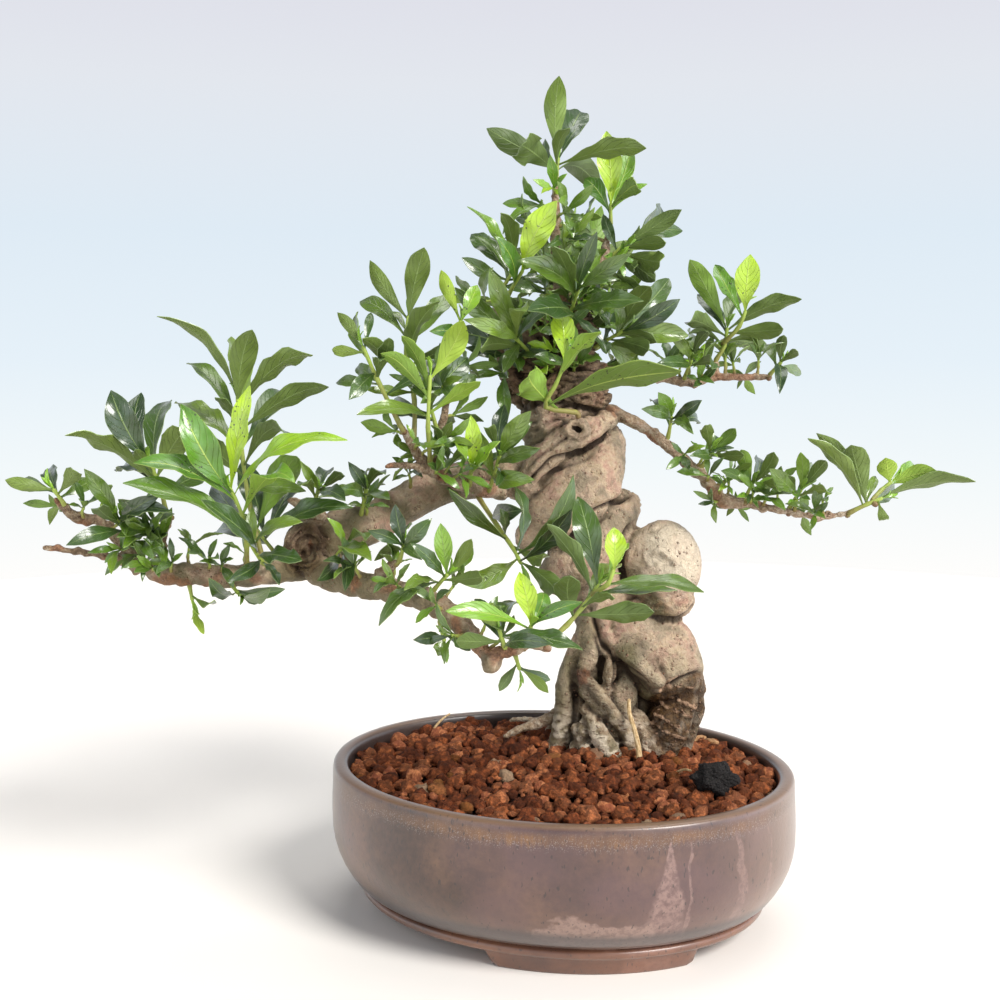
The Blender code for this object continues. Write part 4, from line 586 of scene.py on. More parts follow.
# Wood: the swollen trunk, its roots and every branch grew as one. Fat lobes and ropes of
# wood are laid out as tubes, fused into one skin, eased, and wrinkled as old bark is.
tree_place = Matrix.Translation(pot_centre) @ Matrix.Rotation(TREE_TURN, 4, "Z") @ Matrix.Scale(MM, 4)
LOBES = (
    ("neck", 8, ((2, 36, 240, 4.6), (5, 36, 230, 6.8), (6, 35, 220, 9.4), (5, 34, 210, 11.8),
        (1, 33, 199, 16.2), (3, 32, 187, 16.6), (6, 33, 176, 13.0))),
    ("neck band", 6, ((20, 27, 194, 4.8), (8, 18, 190, 5.6), (-6, 17, 180, 6.2), (-13, 21, 168, 5.6))),
    ("upper lobe", 9, ((-10, 26, 147, 8.0), (0, 24, 157, 13.6), (11, 27, 170, 15.6), (19, 32, 184, 10.2))),
    ("middle lobe", 8, ((28, 33, 158, 7.6), (20, 28, 149, 11.6), (8, 27, 137, 13.6), (1, 28, 131, 9.2))),
    ("core", 8, ((10, 36, 153, 15.6), (17, 35, 133, 16.6), (23, 34, 114, 16.4), (31, 36, 97, 15.4),
        (37, 38, 79, 14.6), (34, 35, 62, 13.4), (33, 34, 46, 11.4))),
    ("lower lobe", 8, ((24, 26, 110, 10.4), (35, 23, 101, 14.2), (45, 26, 92, 16.4), (52, 30, 82, 11.4))),
    ("nose", 6, ((32, 15, 100, 8.6), (37, 11, 93, 6.0), (40, 10, 87, 3.6))),
    ("right root", 7, ((56, 28, 88, 6.6), (54, 26, 77, 8.2), (50, 23, 65, 8.0), (47, 22, 50, 7.4))),
    ("left mass", 7, ((18, 26, 112, 10.0), (13, 22, 98, 8.6), (11, 20, 86, 6.4))),
    ("root one", 5, ((10, 21, 87, 4.2), (7, 23, 72, 3.9), (4, 24, 60, 3.6), (2, 24, 48, 3.6))),
    ("root two", 5, ((9, 16, 91, 4.2), (15, 12, 84, 4.0), (20, 11, 78, 3.8), (26, 12, 70, 3.6),
        (30, 14, 60, 3.8), (31, 15, 48, 3.8))),
    ("small strand", 4, ((22, 15, 100, 2.4), (21, 12, 93, 2.8), (20, 13, 85, 2.2))),
    ("plate", 6, ((28, 20, 94, 5.0), (27, 18, 84, 6.4), (23, 17, 72, 6.6), (20, 15, 60, 6.8),
        (20, 15, 48, 6.0))),
    ("root three", 5, ((15, 14, 77, 3.2), (11, 13, 68, 3.8), (8, 13, 58, 3.9), (7, 13, 48, 3.4))),
    ("right planks", 4, ((32, 17, 74, 3.0), (38, 14, 67, 3.0), (43, 12, 60, 3.0), (45, 12, 48, 3.0))),
    ("back root", 5, ((16, 43, 92, 7.0), (12, 46, 76, 5.6), (8, 48, 62, 4.8), (7, 49, 48, 4.4))),
    ("back right root", 6, ((44, 42, 88, 8.0), (45, 44, 74, 7.0), (45, 45, 62, 6.4), (44, 45, 48, 6.0))),
    ("left back root", 4, ((8, 34, 82, 4.6), (2, 38, 70, 3.2), (-2, 40, 58, 2.8), (-3, 40, 48, 2.6))),
    ("standing dry root", 4, ((29, 9, 81, 0.8), (28, 6, 76, 0.9), (31, 2, 68, 1.1), (32, -2, 56, 1.4),
        (32, -3, 48, 1.3))),
    ("left stub", 6, ((-3, 34, 199, 7.6), (-15, 34, 207, 6.4), (-20, 34, 221, 5.2), (-22, 33, 229, 3.8))),
    ("left limb", 7, ((2, 32, 166, 11.0), (-10, 29, 169, 9.4), (-26, 27, 171, 8.3), (-44, 23, 169, 8.0),
        (-56, 19, 165, 8.1), (-66, 14, 159, 8.0), (-76, 9, 154, 8.2), (-88, 4, 150, 9.6),
        (-98, 0, 146, 9.0))),
    ("limb stub", 4, ((-94, -2, 158, 3.2), (-105, -6, 165, 2.0))),
    ("left branch", 6, ((-98, -3, 140, 7.0), (-109, -6, 138, 5.6), (-125, -10, 136, 4.6),
        (-139, -14, 137, 4.3), (-152, -17, 138, 4.3), (-161, -19, 141, 3.1), (-172, -21, 145, 1.9),
        (-183, -23, 147, 1.4), (-195, -25, 149, 1.2))),
    ("left side twig", 4, ((-158, -18, 140, 2.5), (-165, -19, 147, 2.5), (-171, -20, 154, 2.4),
        (-176, -22, 159, 2.2), (-183, -24, 160, 2.1), (-187, -25, 164, 1.8), (-190, -26, 167, 1.4))),
    ("left upright twig", 4, ((-153, -17, 140, 2.3), (-154, -14, 150, 2.2), (-151, -13, 159, 1.8))),
    ("front branch", 6, ((-100, -4, 141, 6.6), (-91, -14, 137, 5.4), (-77, -24, 135, 4.9),
        (-63, -33, 134, 4.6), (-51, -42, 132, 4.4), (-42, -48, 128, 4.2), (-35, -53, 122, 3.7),
        (-30, -57, 117, 3.4), (-27, -60, 113, 3.4))),
    ("front branch twig", 4, ((-72, -28, 137, 2.2), (-65, -32, 142, 1.9), (-62, -34, 145, 1.5))),
    ("front end twig", 4, ((-29, -58, 116, 2.5), (-20, -60, 117, 2.1), (-13, -60, 120, 2.1),
        (-7, -60, 118, 1.8))),
    ("centre branch", 5, ((-22, 25, 166, 4.4), (-34, 10, 168, 3.3), (-43, 0, 172, 2.8),
        (-50, -6, 176, 2.4), (-56, -10, 184, 2.0), (-61, -12, 193, 1.7))),
    ("centre branch twig", 4, ((-50, -6, 176, 1.9), (-58, -12, 179, 1.5), (-67, -16, 179, 1.2))),
    ("centre upright twig", 4, ((-49, -5, 175, 2.2), (-47, -3, 191, 1.9), (-43, -2, 210, 1.6),
        (-42, -2, 221, 1.4))),
    ("right branch", 5, ((12, 34, 200, 5.0), (29, 30, 195, 3.0), (43, 27, 186, 2.8), (53, 24, 177, 2.7),
        (61, 22, 170, 2.7), (67, 20, 162, 3.3), (78, 18, 161, 2.1), (93, 16, 158, 1.7),
        (105, 14, 156, 1.4), (117, 13, 158, 1.2))),
    ("upper right branch", 4, ((8, 36, 216, 5.0), (28, 38, 214, 2.6), (48, 40, 211, 2.1),
        (57, 41, 210, 2.0), (67, 42, 212, 1.9), (79, 43, 212, 1.7), (90, 44, 212, 1.5))),
    ("upper right twig", 4, ((67, 42, 212, 1.8), (67, 42, 218, 1.5))),
    ("crown left twig", 4, ((-20, 34, 224, 4.0), (-24, 30, 238, 2.7), (-25, 28, 248, 1.9))),
    ("crown stem", 5, ((4, 36, 230, 6.0), (1, 36, 248, 3.3), (-1, 36, 264, 2.5), (-1, 36, 283, 1.9),
        (-1, 36, 293, 1.5))),
    ("crown right twig", 4, ((5, 38, 234, 4.4), (14, 40, 248, 2.6), (19, 42, 262, 2.1),
        (22, 42, 274, 1.7))),
)
SWELLINGS = (
    ("ball", (43, 26, 135), (16.6, 16.0, 18.4)),
    ("ball foot", (44, 27, 121), (13.6, 14.0, 10.6)),
    ("knuckle", (-97, -1, 148), (8.6, 8.0, 10.4)),
    ("end knob", (-27, -60, 113), (4.2, 4.2, 4.4)),
)
CALLUSES = (
    ("limb scar", (-100, -8, 148), 5.4, 7.0, 3.4, 12.0),
    ("knot hole", (8, 12, 195), 3.6, 2.8, 2.2, -8.0),
)
# Finer ropes and rolls of wood over the same trunk, each as name and points with radius
FINE_ROPES = (
    ("heart", ((24, 27, 106, 13.0), (23, 27, 86, 12.4), (21, 26, 66, 12.0), (21, 25, 47, 11.0))),
    ("left outer root", ((16, 26, 112, 7.0), (9, 22.5, 99, 5.6), (4, 21, 85, 4.8), (3, 21, 73, 4.4),
        (1, 22, 60, 4.7), (-1, 22, 49, 5.0))),
    ("left shoulder", ((19, 24, 112, 8.0), (14, 19, 100, 6.4), (10, 16.5, 90, 5.0), (14, 13, 83, 4.4),
        (19, 11.5, 77, 4.0))),
    ("front chunk", ((11, 14, 77, 2.6), (15, 10.5, 70, 4.0), (20, 9, 62, 4.8), (24, 9, 52, 5.2))),
    ("low chunk", ((8, 15, 68, 3.0), (11, 11, 60, 4.2), (14, 9.5, 50, 5.0))),
    ("surface root", ((8, 30, 76, 4.0), (0, 27, 71, 3.0), (-8, 26, 67.5, 2.4), (-15, 25, 65.5, 1.8),
        (-22, 22, 63, 1.2))),
    ("surface rootlet", ((-6, 26, 68, 1.6), (-13, 31, 68, 1.3), (-19, 35, 66.5, 1.0))),
    ("root flare", ((50, 29, 96, 8.0), (51, 23.5, 82, 9.0), (47, 20.5, 70, 9.6), (42, 19, 59, 9.6),
        (38, 18, 49, 9.4))),
    ("light plank", ((30, 14, 73, 1.6), (35, 11.5, 67, 2.3), (41, 9.5, 60, 2.6), (45, 8.5, 52, 2.4))),
    ("second plank", ((33, 13, 69, 1.6), (36, 10.5, 62, 2.2), (38, 8.5, 53, 2.4))),
    ("neck fold", ((-10, 29, 202, 5.0), (-3, 26, 205, 8.6), (8, 25, 207, 9.0), (15, 30, 204, 6.6))),
    ("high neck fold", ((-6, 33, 214, 5.0), (1, 30, 217, 7.4), (9, 30, 218, 7.4), (14, 34, 214, 5.0))),
    ("stub head", ((-12, 34, 214, 6.6), (-11, 33, 226, 7.4), (-8, 33, 232, 6.6))),
    ("neck head", ((4, 33, 222, 9.0), (8, 33, 230, 8.6), (6, 33, 236, 6.4))),
    ("nose cone", ((31, 23, 110, 12.0), (34, 18, 101, 9.6), (37, 14, 93, 6.8), (39.5, 11, 87, 4.0))),
)
FINE_SWELLINGS = (
    *SWELLINGS,
    ("nose cheek", (45, 24.5, 96), (14.6, 13.4, 18.0)),
    ("scar face", (-100, -7.4, 148), (5.6, 3.4, 7.2)),
)
FINE_CALLUSES = (CALLUSES[0], ("knot hole", (7, 12, 192), 3.4, 2.6, 1.9, -8.0))
STANDS_ALONE = "standing dry root"
# Creases of the trunk's front: depth, half breadth, which side swells over (1 left of the
# line, -1 right, 0 neither), then places across and up on an upright plane seen from FRONT_EYE
CREASE_PLANE = 12.0
FRONT_EYE = (-24.0, -538.0, 220.0)
FRONT_CREASES = (
    (2.4, 1.0, 1, ((-14, 167), (-11, 172), (-7, 176), (-3, 180), (5, 182), (11, 184), (17, 188),
        (22, 193))),
    (1.3, 0.9, -1, ((-15, 172), (-10, 179), (-5, 183), (1, 187), (4, 189.5))),
    (1.0, 0.8, 0, ((-10, 168), (-5, 173), (1, 176.5), (9, 179), (15, 183))),
    (2.6, 1.0, -1, ((31, 167), (26, 164), (20, 161.5), (13.5, 158), (8.5, 152.5), (4.8, 148), (1, 144),
        (-1.5, 140))),
    (1.0, 0.8, 0, ((21, 158), (15, 153), (10, 147), (6, 140), (4, 134))),
    (2.2, 1.1, 1, ((31.5, 156), (27.5, 150.5), (25.4, 145), (24.8, 138.7), (26.1, 132.4), (28, 123.6))),
    (1.5, 1.0, 1, ((28, 123.6), (31.8, 119.2), (36.8, 116), (43.7, 114.5), (50, 115.4), (54.9, 119.8),
        (58, 126))),
    (0.8, 1.2, 0, ((31, 124), (37, 120.5), (44, 119), (51, 120.5))),
    (2.6, 1.2, 1, ((12, 121), (15, 112), (19, 103.3), (25.2, 96.3), (32.7, 91), (39, 85))),
    (0.9, 2.8, 0, ((40.5, 91), (38.5, 97), (34, 103), (31.5, 110))),
    (2.4, 1.2, 1, ((40, 84), (45.3, 86.7), (51.6, 90.6), (60, 93.5))),
    (1.8, 1.0, -1, ((13.8, 110), (16.3, 103.3), (17.6, 98.9), (16.4, 93))),
    (1.3, 0.8, 0, ((17.9, 99), (17.2, 93), (19, 86.7))),
    (1.5, 0.8, 0, ((22.7, 98), (23.3, 92), (21.8, 85))),
    (1.2, 0.8, 0, ((8, 101), (5.5, 93), (7, 84), (9, 76))),
    (1.2, 0.9, 0, ((-6, 199), (1, 200.5), (9, 200.5), (17, 198))),
    (1.2, 0.9, 0, ((-8, 193), (-2, 195.5), (3, 195))),
)
CREASE_LIP = 0.45
# The front ends left of the first, behind the second and over the third of these places
FRONT_ENDS = (-20.0, 36.0, 208.0)
SWOLLEN_FROM, SWOLLEN_TO = 92.0, 196.0
# Edges of thin bark layers that curl up across the right root, on the same plane
PEELS = (
    ((41.3, 84.4), (44.0, 88.3), (48.0, 91.0), (54.1, 91.9)),
    ((40.6, 83.4), (44.0, 85.5), (47.4, 86.4), (52.1, 86.5), (57.5, 85.6)),
    ((41.3, 82.7), (47.4, 81.8), (51.5, 79.9), (58.0, 76.8)),
    ((40.6, 81.0), (44.1, 78.2), (49.6, 75.8), (56.3, 73.6)),
    ((38.7, 75.4), (42.8, 73.7), (46.9, 70.9), (54.4, 67.2)),
    ((37.5, 73.0), (41.4, 69.8), (46.4, 66.8), (53.1, 64.6)),
)
PEEL_RISE = 0.9
SCAR = (-102.0, 143.5)
KNOT_HOLE = (7.0, 12.0, 192.0)
BALL_DIMPLE = (41.5, 10.5, 138.5)
BALL_FOOT = (44.0, 12.0, 121.5)
# Middle of the painted highlight on the ball
BALL_LIGHT_CENTRE = (48.0, 13.0, 142.0)
TORN_PATCH = (9.5, 12.0, 91.0)
RIGHT_ROOT = (54.0, 18.0)
FOLD_WIDTH = 1.15
FOLD_DEPTH = 1.25
SKIN_GRID = 0.75
FINE_EASING = 6
BROAD_EASING = 50
# Share of the skin's faces that is kept, which keeps the piece within its triangle limit
THINNED = 0.66
ROUTE_STEPS = 6
# Distance beyond the end and breadth of the rings that dome a tube, as shares of its radius
DOME = ((0.92, 0.4), (0.6, 0.8))
KNOB_SEED = 41
THIN_LIMB = 6.0
TWIG = 3.6
# How far from a rope's box a point of the skin is still searched, and a distance beyond all
ROPE_REACH = 24.0
BEYOND_ALL = 1e9
# Heights and depths where one kind of bark gives way to another
LIMBS_ABOVE = 116.0
BACK_BEYOND = 30.0
NECK_ABOVE = 172.0
NECK_SIDES = (-16.0, 24.0)
CRACKED_ABOVE = 196.0
ROOTS_BELOW = 92.0
PAPERY_BELOW = 78.0


def smooth_route(route, steps):
    """Points of any width along a Catmull-Rom curve through the route's points."""
    points = [np.array(point, float) for point in route]
    points = [2 * points[0] - points[1]] + points + [2 * points[-1] - points[-2]]
    result = []
    for index in range(1, len(points) - 2):
        a, b, c, d = points[index - 1:index + 3]
        for step in range(steps):
            t = step / steps
            result.append(0.5 * (2 * b + (c - a) * t + (2 * a - 5 * b + 4 * c - d) * t * t
                                 + (3 * b - 3 * c + d - a) * t * t * t))
    result.append(points[-2])
    return result


def carried_frames(centres):
    """Tangent and two side directions at each point, carried along without twist."""
    frames = []
    side = None
    for index in range(len(centres)):
        tangent = (centres[min(index + 1, len(centres) - 1)] - centres[max(index - 1, 0)]).normalized()
        if side is None:
            reference = Vector((1.0, 0.0, 0.0)) if abs(tangent.z) > 0.9 else Vector((0.0, 0.0, 1.0))
            side = tangent.cross(reference).normalized()
        side = (side - tangent * side.dot(tangent)).normalized()
        frames.append((tangent, side, tangent.cross(side)))
    return frames


def ring_points(centre, side, other, radii):
    """One ring of points about a centre, each at its own radius."""
    turns = [2.0 * math.pi * index / len(radii) for index in range(len(radii))]
    return [centre + (side * math.cos(turn) + other * math.sin(turn)) * radius
            for turn, radius in zip(turns, radii)]


def band_faces(rings, sides):
    """Faces of a tube made ring by ring, closed at both ends."""
    faces = []
    for low in range(0, (rings - 1) * sides, sides):
        for side in range(sides):
            after = (side + 1) % sides
            faces.append((low + side, low + after, low + sides + after, low + sides + side))
    faces.append(tuple(reversed(range(sides))))
    faces.append(tuple(range((rings - 1) * sides, rings * sides)))
    return faces


def round_tube(route, sides, dome=DOME, rough=0.0, rng=None):
    """A closed tube through points of x, y, z and radius, its ends domed, its skin even or rough."""
    centres = [Vector(point[:3]) for point in route]
    radii = [float(point[3]) for point in route]
    frames = carried_frames(centres)
    rings = [(centres[0] - frames[0][0] * radii[0] * away, radii[0] * share, frames[0])
             for away, share in dome]
    rings += list(zip(centres, radii, frames))
    rings += [(centres[-1] + frames[-1][0] * radii[-1] * away, radii[-1] * share, frames[-1])
              for away, share in reversed(dome)]
    points = []
    for centre, radius, (_, side, other) in rings:
        reaches = [radius] * sides
        if rough:
            reaches = [radius * (1.0 + rough * rng.uniform(-1.0, 1.0)) for _ in range(sides)]
        points += ring_points(centre, side, other, reaches)
    return points, band_faces(len(rings), sides)


def ring_of_callus(centre, across, up, thickness, turn, sides, tube_sides):
    """A rolled ring whose axis points to the front, turned about z."""
    points = []
    spin = Matrix.Rotation(math.radians(turn), 3, "Z")
    for side in range(sides):
        angle = 2.0 * math.pi * side / sides
        outward = Vector((math.cos(angle), 0.0, math.sin(angle)))
        hub = Vector((across * math.cos(angle), 0.0, up * math.sin(angle)))
        for step in range(tube_sides):
            roll = 2.0 * math.pi * step / tube_sides
            point = hub + outward * thickness * math.cos(roll)
            point += Vector((0.0, thickness * math.sin(roll), 0.0))
            points.append(Vector(centre) + spin @ point)
    faces = []
    for side in range(sides):
        low = side * tube_sides
        high = ((side + 1) % sides) * tube_sides
        for step in range(tube_sides):
            after = (step + 1) % tube_sides
            faces.append((low + step, high + step, high + after, low + after))
    return points, faces


bodies = []
lobe_samples = []
knobs = random.Random(KNOB_SEED)
grown_as_one = [(lobe[0], lobe[2]) for lobe in LOBES if lobe[0] != STANDS_ALONE]
for name, route in [*grown_as_one, *FINE_ROPES]:
    smooth = smooth_route(route, ROUTE_STEPS)
    for index, point in enumerate(smooth):
        if point[3] < THIN_LIMB and route[0][2] > LIMBS_ABOVE:
            point[3] *= 0.9 if point[3] < TWIG else 1.0
            point[3] *= 1.0 + 0.10 * math.sin(index * 1.9) + knobs.uniform(-0.05, 0.05)
    lobe_samples.append(np.array(smooth))
    bodies.append(round_tube(smooth, 20 if route[0][3] > 5.0 else 14))
for name, centre, radii in FINE_SWELLINGS:
    points, faces = take_apart(new_shape(uv_sphere, name, segments=32, ring_count=20, radius=1.0))
    points = [Vector([centre[axis] + point[axis] * radii[axis] for axis in range(3)]) for point in points]
    bodies.append((points, faces))
    lobe_samples.append(np.array([[*centre, min(radii)]]))
for name, centre, across, up, thickness, turn in FINE_CALLUSES:
    bodies.append(ring_of_callus(centre, across, up, thickness, turn, 28, 12))
# Old nodes and pruned buds: little knobs half sunk in the bark of every limb
bud_points, bud_faces = take_apart(new_shape(uv_sphere, "bud", segments=12, ring_count=8, radius=1.0))
for name, route in grown_as_one:
    if route[0][2] < LIMBS_ABOVE or name in ("neck", "upper lobe", "middle lobe", "core", "neck band"):
        continue
    smooth = smooth_route(route, ROUTE_STEPS)
    for index in range(2, len(smooth) - 1, 2 if smooth[0][3] < 7.0 else 4):
        point = smooth[index]
        way = Vector([knobs.uniform(-1, 1) for axis in range(3)]).normalized()
        size = point[3] * knobs.uniform(0.25, 0.5) + knobs.uniform(0.5, 1.1)
        middle = Vector(point[:3]) + way * point[3] * 0.72
        bodies.append(([middle + corner * size for corner in bud_points], bud_faces))
wood = add_mesh("trunk_and_limbs_bark", *joined(bodies), Matrix.Identity(4))
work(wood, "REMESH", mode="VOXEL", voxel_size=SKIN_GRID)
work(wood, "SMOOTH", factor=0.5, iterations=4)

# Creases: where two ropes of wood press together the bark folds in to a narrow line, painted
# dark as shade, so every point of the skin is cut by how evenly it lies between its two nearest ropes
count = len(wood.data.vertices)
spots = np.empty(count * 3)
wood.data.vertices.foreach_get("co", spots)
spots = spots.reshape(-1, 3)
nearest = np.full(count, BEYOND_ALL)
second = np.full(count, BEYOND_ALL)
nearest_radius = np.ones(count)
second_radius = np.ones(count)
for samples in lobe_samples:
    low = samples[:, :3].min(0) - ROPE_REACH
    high = samples[:, :3].max(0) + ROPE_REACH
    close = np.where(((spots > low) & (spots < high)).all(1))[0]
    if not len(close):
        continue
    away = spots[close][:, None, :] - samples[None, :, :3]
    away = np.sqrt((away ** 2).sum(2)) - samples[None, :, 3]
    which = away.argmin(1)
    away = away[np.arange(len(close)), which]
    radius = samples[which, 3]
    ahead = away < nearest[close]
    front = close[ahead]
    second[front] = nearest[front]
    second_radius[front] = nearest_radius[front]
    nearest[front] = away[ahead]
    nearest_radius[front] = radius[ahead]
    back = close[~ahead]
    behind = away[~ahead] < second[back]
    second[back[behind]] = away[~ahead][behind]
    second_radius[back[behind]] = radius[~ahead][behind]
fold = np.exp(-((second - nearest) / FOLD_WIDTH) ** 2)
fold *= np.clip((np.minimum(nearest_radius, second_radius) - 1.2) / 3.0, 0.0, 1.0)
normals = np.array([vertex.normal for vertex in wood.data.vertices])

# The folds that show in front are drawn as lines on an upright plane, so each point of the
# front is carried to that plane along its line of sight
eye = np.array(FRONT_EYE)
sight = eye[None, :] - spots
sight /= np.linalg.norm(sight, axis=1)[:, None]
facing = np.clip(((normals * sight).sum(1) - 0.02) / 0.25, 0.0, 1.0)
facing[(spots[:, 0] < FRONT_ENDS[0]) | (spots[:, 1] > FRONT_ENDS[1]) | (spots[:, 2] > FRONT_ENDS[2])] = 0.0
shrink = (CREASE_PLANE - eye[1]) / (spots[:, 1] - eye[1])
across = eye[0] + (spots[:, 0] - eye[0]) * shrink
up = eye[2] + (spots[:, 2] - eye[2]) * shrink
carved = np.zeros(count)
creased = np.zeros(count)
curled = np.zeros(count)


def bell(away, width, power=2):
    """One in the middle of a line and nothing far from it."""
    return np.exp(-(away / width) ** power)


def line_gaps(line):
    """How far each point of the skin is from a line on the plane, where along it, and its side."""
    line = np.array(smooth_route([(*place, 0.0) for place in line], 4))[:, :2]
    best = np.full(count, BEYOND_ALL)
    where = np.zeros(count)
    side = np.zeros(count)
    total = len(line) - 1
    for index in range(total):
        start, run = line[index], line[index + 1] - line[index]
        share = np.clip(((across - start[0]) * run[0] + (up - start[1]) * run[1]) / (run @ run), 0.0, 1.0)
        off_across = across - start[0] - run[0] * share
        off_up = up - start[1] - run[1] * share
        gap = np.hypot(off_across, off_up)
        better = gap < best
        best[better] = gap[better]
        where[better] = (index + share[better]) / total
        side[better] = np.sign(run[0] * off_up - run[1] * off_across)[better]
    return best, where, side


for depth, breadth, over, line in FRONT_CREASES:
    best, where, side = line_gaps(line)
    strength = facing * np.clip(np.minimum(where, 1.0 - where) / 0.14, 0.12, 1.0)
    carved -= strength * depth * bell(best, breadth)
    carved += strength * depth * CREASE_LIP * (side == over) * bell(best - 3.4, 2.0)
    # The crease line is also painted dark as shade
    creased = np.maximum(creased, strength * min(depth / 1.8, 1.0) * bell(best, 0.8 * breadth))
for line in PEELS:
    best, where, side = line_gaps(line)
    ragged = 0.72 + 0.6 * np.sin(17.0 * where + 5.0 * line[0][1]) * np.sin(11.0 * where + line[0][0])
    strength = facing * ragged * np.clip(np.minimum(where, 1.0 - where) / 0.1, 0.2, 1.0)
    above = side > 0
    carved += PEEL_RISE * strength * bell(best, np.where(above, 2.4, 0.5))
    curled = np.maximum(curled, strength * bell(best, 0.7))
    # A painted shadow under each curled edge
    creased = np.maximum(creased, 0.95 * strength * ~above * bell(best - 1.5, 0.7))
in_front = facing * np.clip((spots[:, 2] - SWOLLEN_FROM) / 8.0, 0.0, 1.0)
in_front *= np.clip((SWOLLEN_TO - spots[:, 2]) / 8.0, 0.0, 1.0)
fold *= (1.0 - 0.85 * in_front) * np.where(spots[:, 1] > BACK_BEYOND, 0.4, 1.0)


def unit(value):
    """The value held between nothing and one."""
    return min(max(value, 0.0), 1.0)


def drawn_noise(spot, across, up, lean=0.0, shift=(0.0, 0.0, 0.0)):
    """Noise of one size across and another up, in bands that lean."""
    place = Vector((spot.x / across, spot.y / across, (spot.z - lean * spot.x) / up))
    return noise.noise(place + Vector(shift))


zones = np.zeros((count, 4))
marks = np.zeros((count, 4))
lift = np.zeros(count)
dark = np.zeros(count)
for index in range(count):
    spot = Vector(spots[index])
    rightward = normals[index, 0]
    thick = nearest_radius[index]
    big = unit((thick - 2.0) / 7.0)
    behind = spot.y > BACK_BEYOND
    broad = noise.noise(spot / 14.0)
    wrinkle = noise.noise(spot / 2.7)
    fine = noise.noise(spot / 1.4)
    seam = big * unit(1.0 - abs(drawn_noise(spot, 10.0, 5.5, 0.7, (5, 2, 8))) / 0.07)
    rise = big * 0.8 * broad + (0.4 - 0.22 * big) * wrinkle + (0.22 - 0.08 * big) * fine
    rise -= (0.9 if behind else 0.4) * seam
    # Gloom paints shade into the grooves, cracks and hollows made below; it joins the painted crease shade
    gloom = (0.5 if behind else 0.22) * seam
    flaky = 0.0
    rusty = 0.0
    # The gnarled neck, in leaning rolls
    if spot.z > NECK_ABOVE and NECK_SIDES[0] < spot.x < NECK_SIDES[1]:
        gnarl = unit((spot.z - NECK_ABOVE) / 16.0) * big
        rise += gnarl * 1.1 * drawn_noise(spot, 6.0, 2.0, 0.5)
        roll = math.sin(2.2 * (spot.z - 0.45 * spot.x) + 7.0 * noise.noise(spot / 9.0))
        roll *= unit(0.5 + 2.5 * noise.noise(spot / 6.0 + Vector((9, 1, 4))))
        rise += gnarl * 0.45 * roll
        gloom = max(gloom, -0.4 * gnarl * roll)
    # The roots, planked and split along their length
    if spot.z < ROOTS_BELOW:
        plank = Vector((spot.x / 1.9, spot.y / 1.9, spot.z / 9.0))
        rooted = unit((ROOTS_BELOW - spot.z) / 12.0)
        split = unit(1.0 - abs(noise.noise(plank * 0.7 + Vector((4, 4, 1)))) / 0.07)
        rise += rooted * (0.42 * noise.noise(plank) - 0.3 * split)
        gloom = max(gloom, 0.42 * rooted * split)
    # The right root's dark flaking bark, which starts at a slanting edge, painted thinner on
    # right-facing skin so that side shows lighter where the light falls
    rootward = math.hypot(spot.x - RIGHT_ROOT[0], spot.y - RIGHT_ROOT[1])
    below = 83.0 + (across[index] - 40.0) * 0.5 - up[index] + 1.5 * broad
    if rootward < 19.0 and below > -1.0 and spot.y < 32.0:
        near_root = unit((below + 1.0) / 1.5) * unit((19.0 - rootward) / 3.0)
        flaky = near_root * unit(1.2 - 0.5 * rightward + 0.5 * wrinkle)
    # Fine creases where the ball sits on its foot
    foot_wrinkle = math.hypot((spot.x - BALL_FOOT[0]) / 3.2, spot.z - BALL_FOOT[2])
    if foot_wrinkle < 6.0 and spot.y < 24.0:
        soft = unit((6.0 - foot_wrinkle) / 2.0)
        rise += 0.7 * soft * drawn_noise(spot, 5.0, 1.1)
        rusty = 0.3 * soft * unit(0.5 + 3.0 * wrinkle)
    # The knot hole in its rings of callus, painted dark inside as shade
    hole = math.hypot((spot.x - KNOT_HOLE[0]) / 1.35, spot.z - KNOT_HOLE[2]) + 1.6 * wrinkle
    if hole < 8.0 and spot.y < 24.0:
        depth = unit(1.0 - (max(hole, 0.0) / 1.5) ** 2)
        rings = math.sin(2.3 * hole + 2.0 * broad) * unit((8.0 - hole) / 4.0)
        rise += 0.5 * rings - 2.6 * depth
        gloom = max(gloom, min(depth * 1.2, 0.8), -0.4 * rings)
    # The limb's old scar, a tilted oval
    leftward, upward = across[index] - SCAR[0], up[index] - SCAR[1]
    scar = math.hypot(1.25 * (0.87 * leftward - 0.5 * upward), (0.5 * leftward + 0.87 * upward) / 1.15)
    if scar < 12.0 and spot.y < 3.0:
        rings = math.sin(2.2 * scar + 3.0 * broad + 5.0 * noise.noise(spot / 5.0))
        reach = unit((12.0 - scar) / 3.0)
        rise += 0.75 * reach * rings
        flaky = max(flaky, 0.6 * reach)
        gloom = max(gloom, 0.5 * reach * max(-rings, 0.0))
    # Cracked plates at the top of the neck and on the stub
    if spot.z > CRACKED_ABOVE and big > 0.4:
        cracked = abs(drawn_noise(spot, 5.0, 2.6))
        rough_neck = unit((spot.z - CRACKED_ABOVE) / 8.0)
        rise += rough_neck * (2.2 * min(cracked, 0.25) / 0.25 - 1.3)
        gloom = max(gloom, rough_neck * unit(1.0 - cracked / 0.11))
        flaky = max(flaky, 0.72 * rough_neck)
    # Red inner bark: a torn patch, and here and there on the thin branches
    torn = (spot - Vector(TORN_PATCH)).length + 2.0 * wrinkle
    rusty = max(rusty, unit((4.4 - torn) / 1.2))
    if big < 0.45 and spot.z > 100.0:
        rusty = 0.75 * unit((noise.noise(spot / 8.0 + Vector((3, 9, 4))) - 0.16) / 0.1)
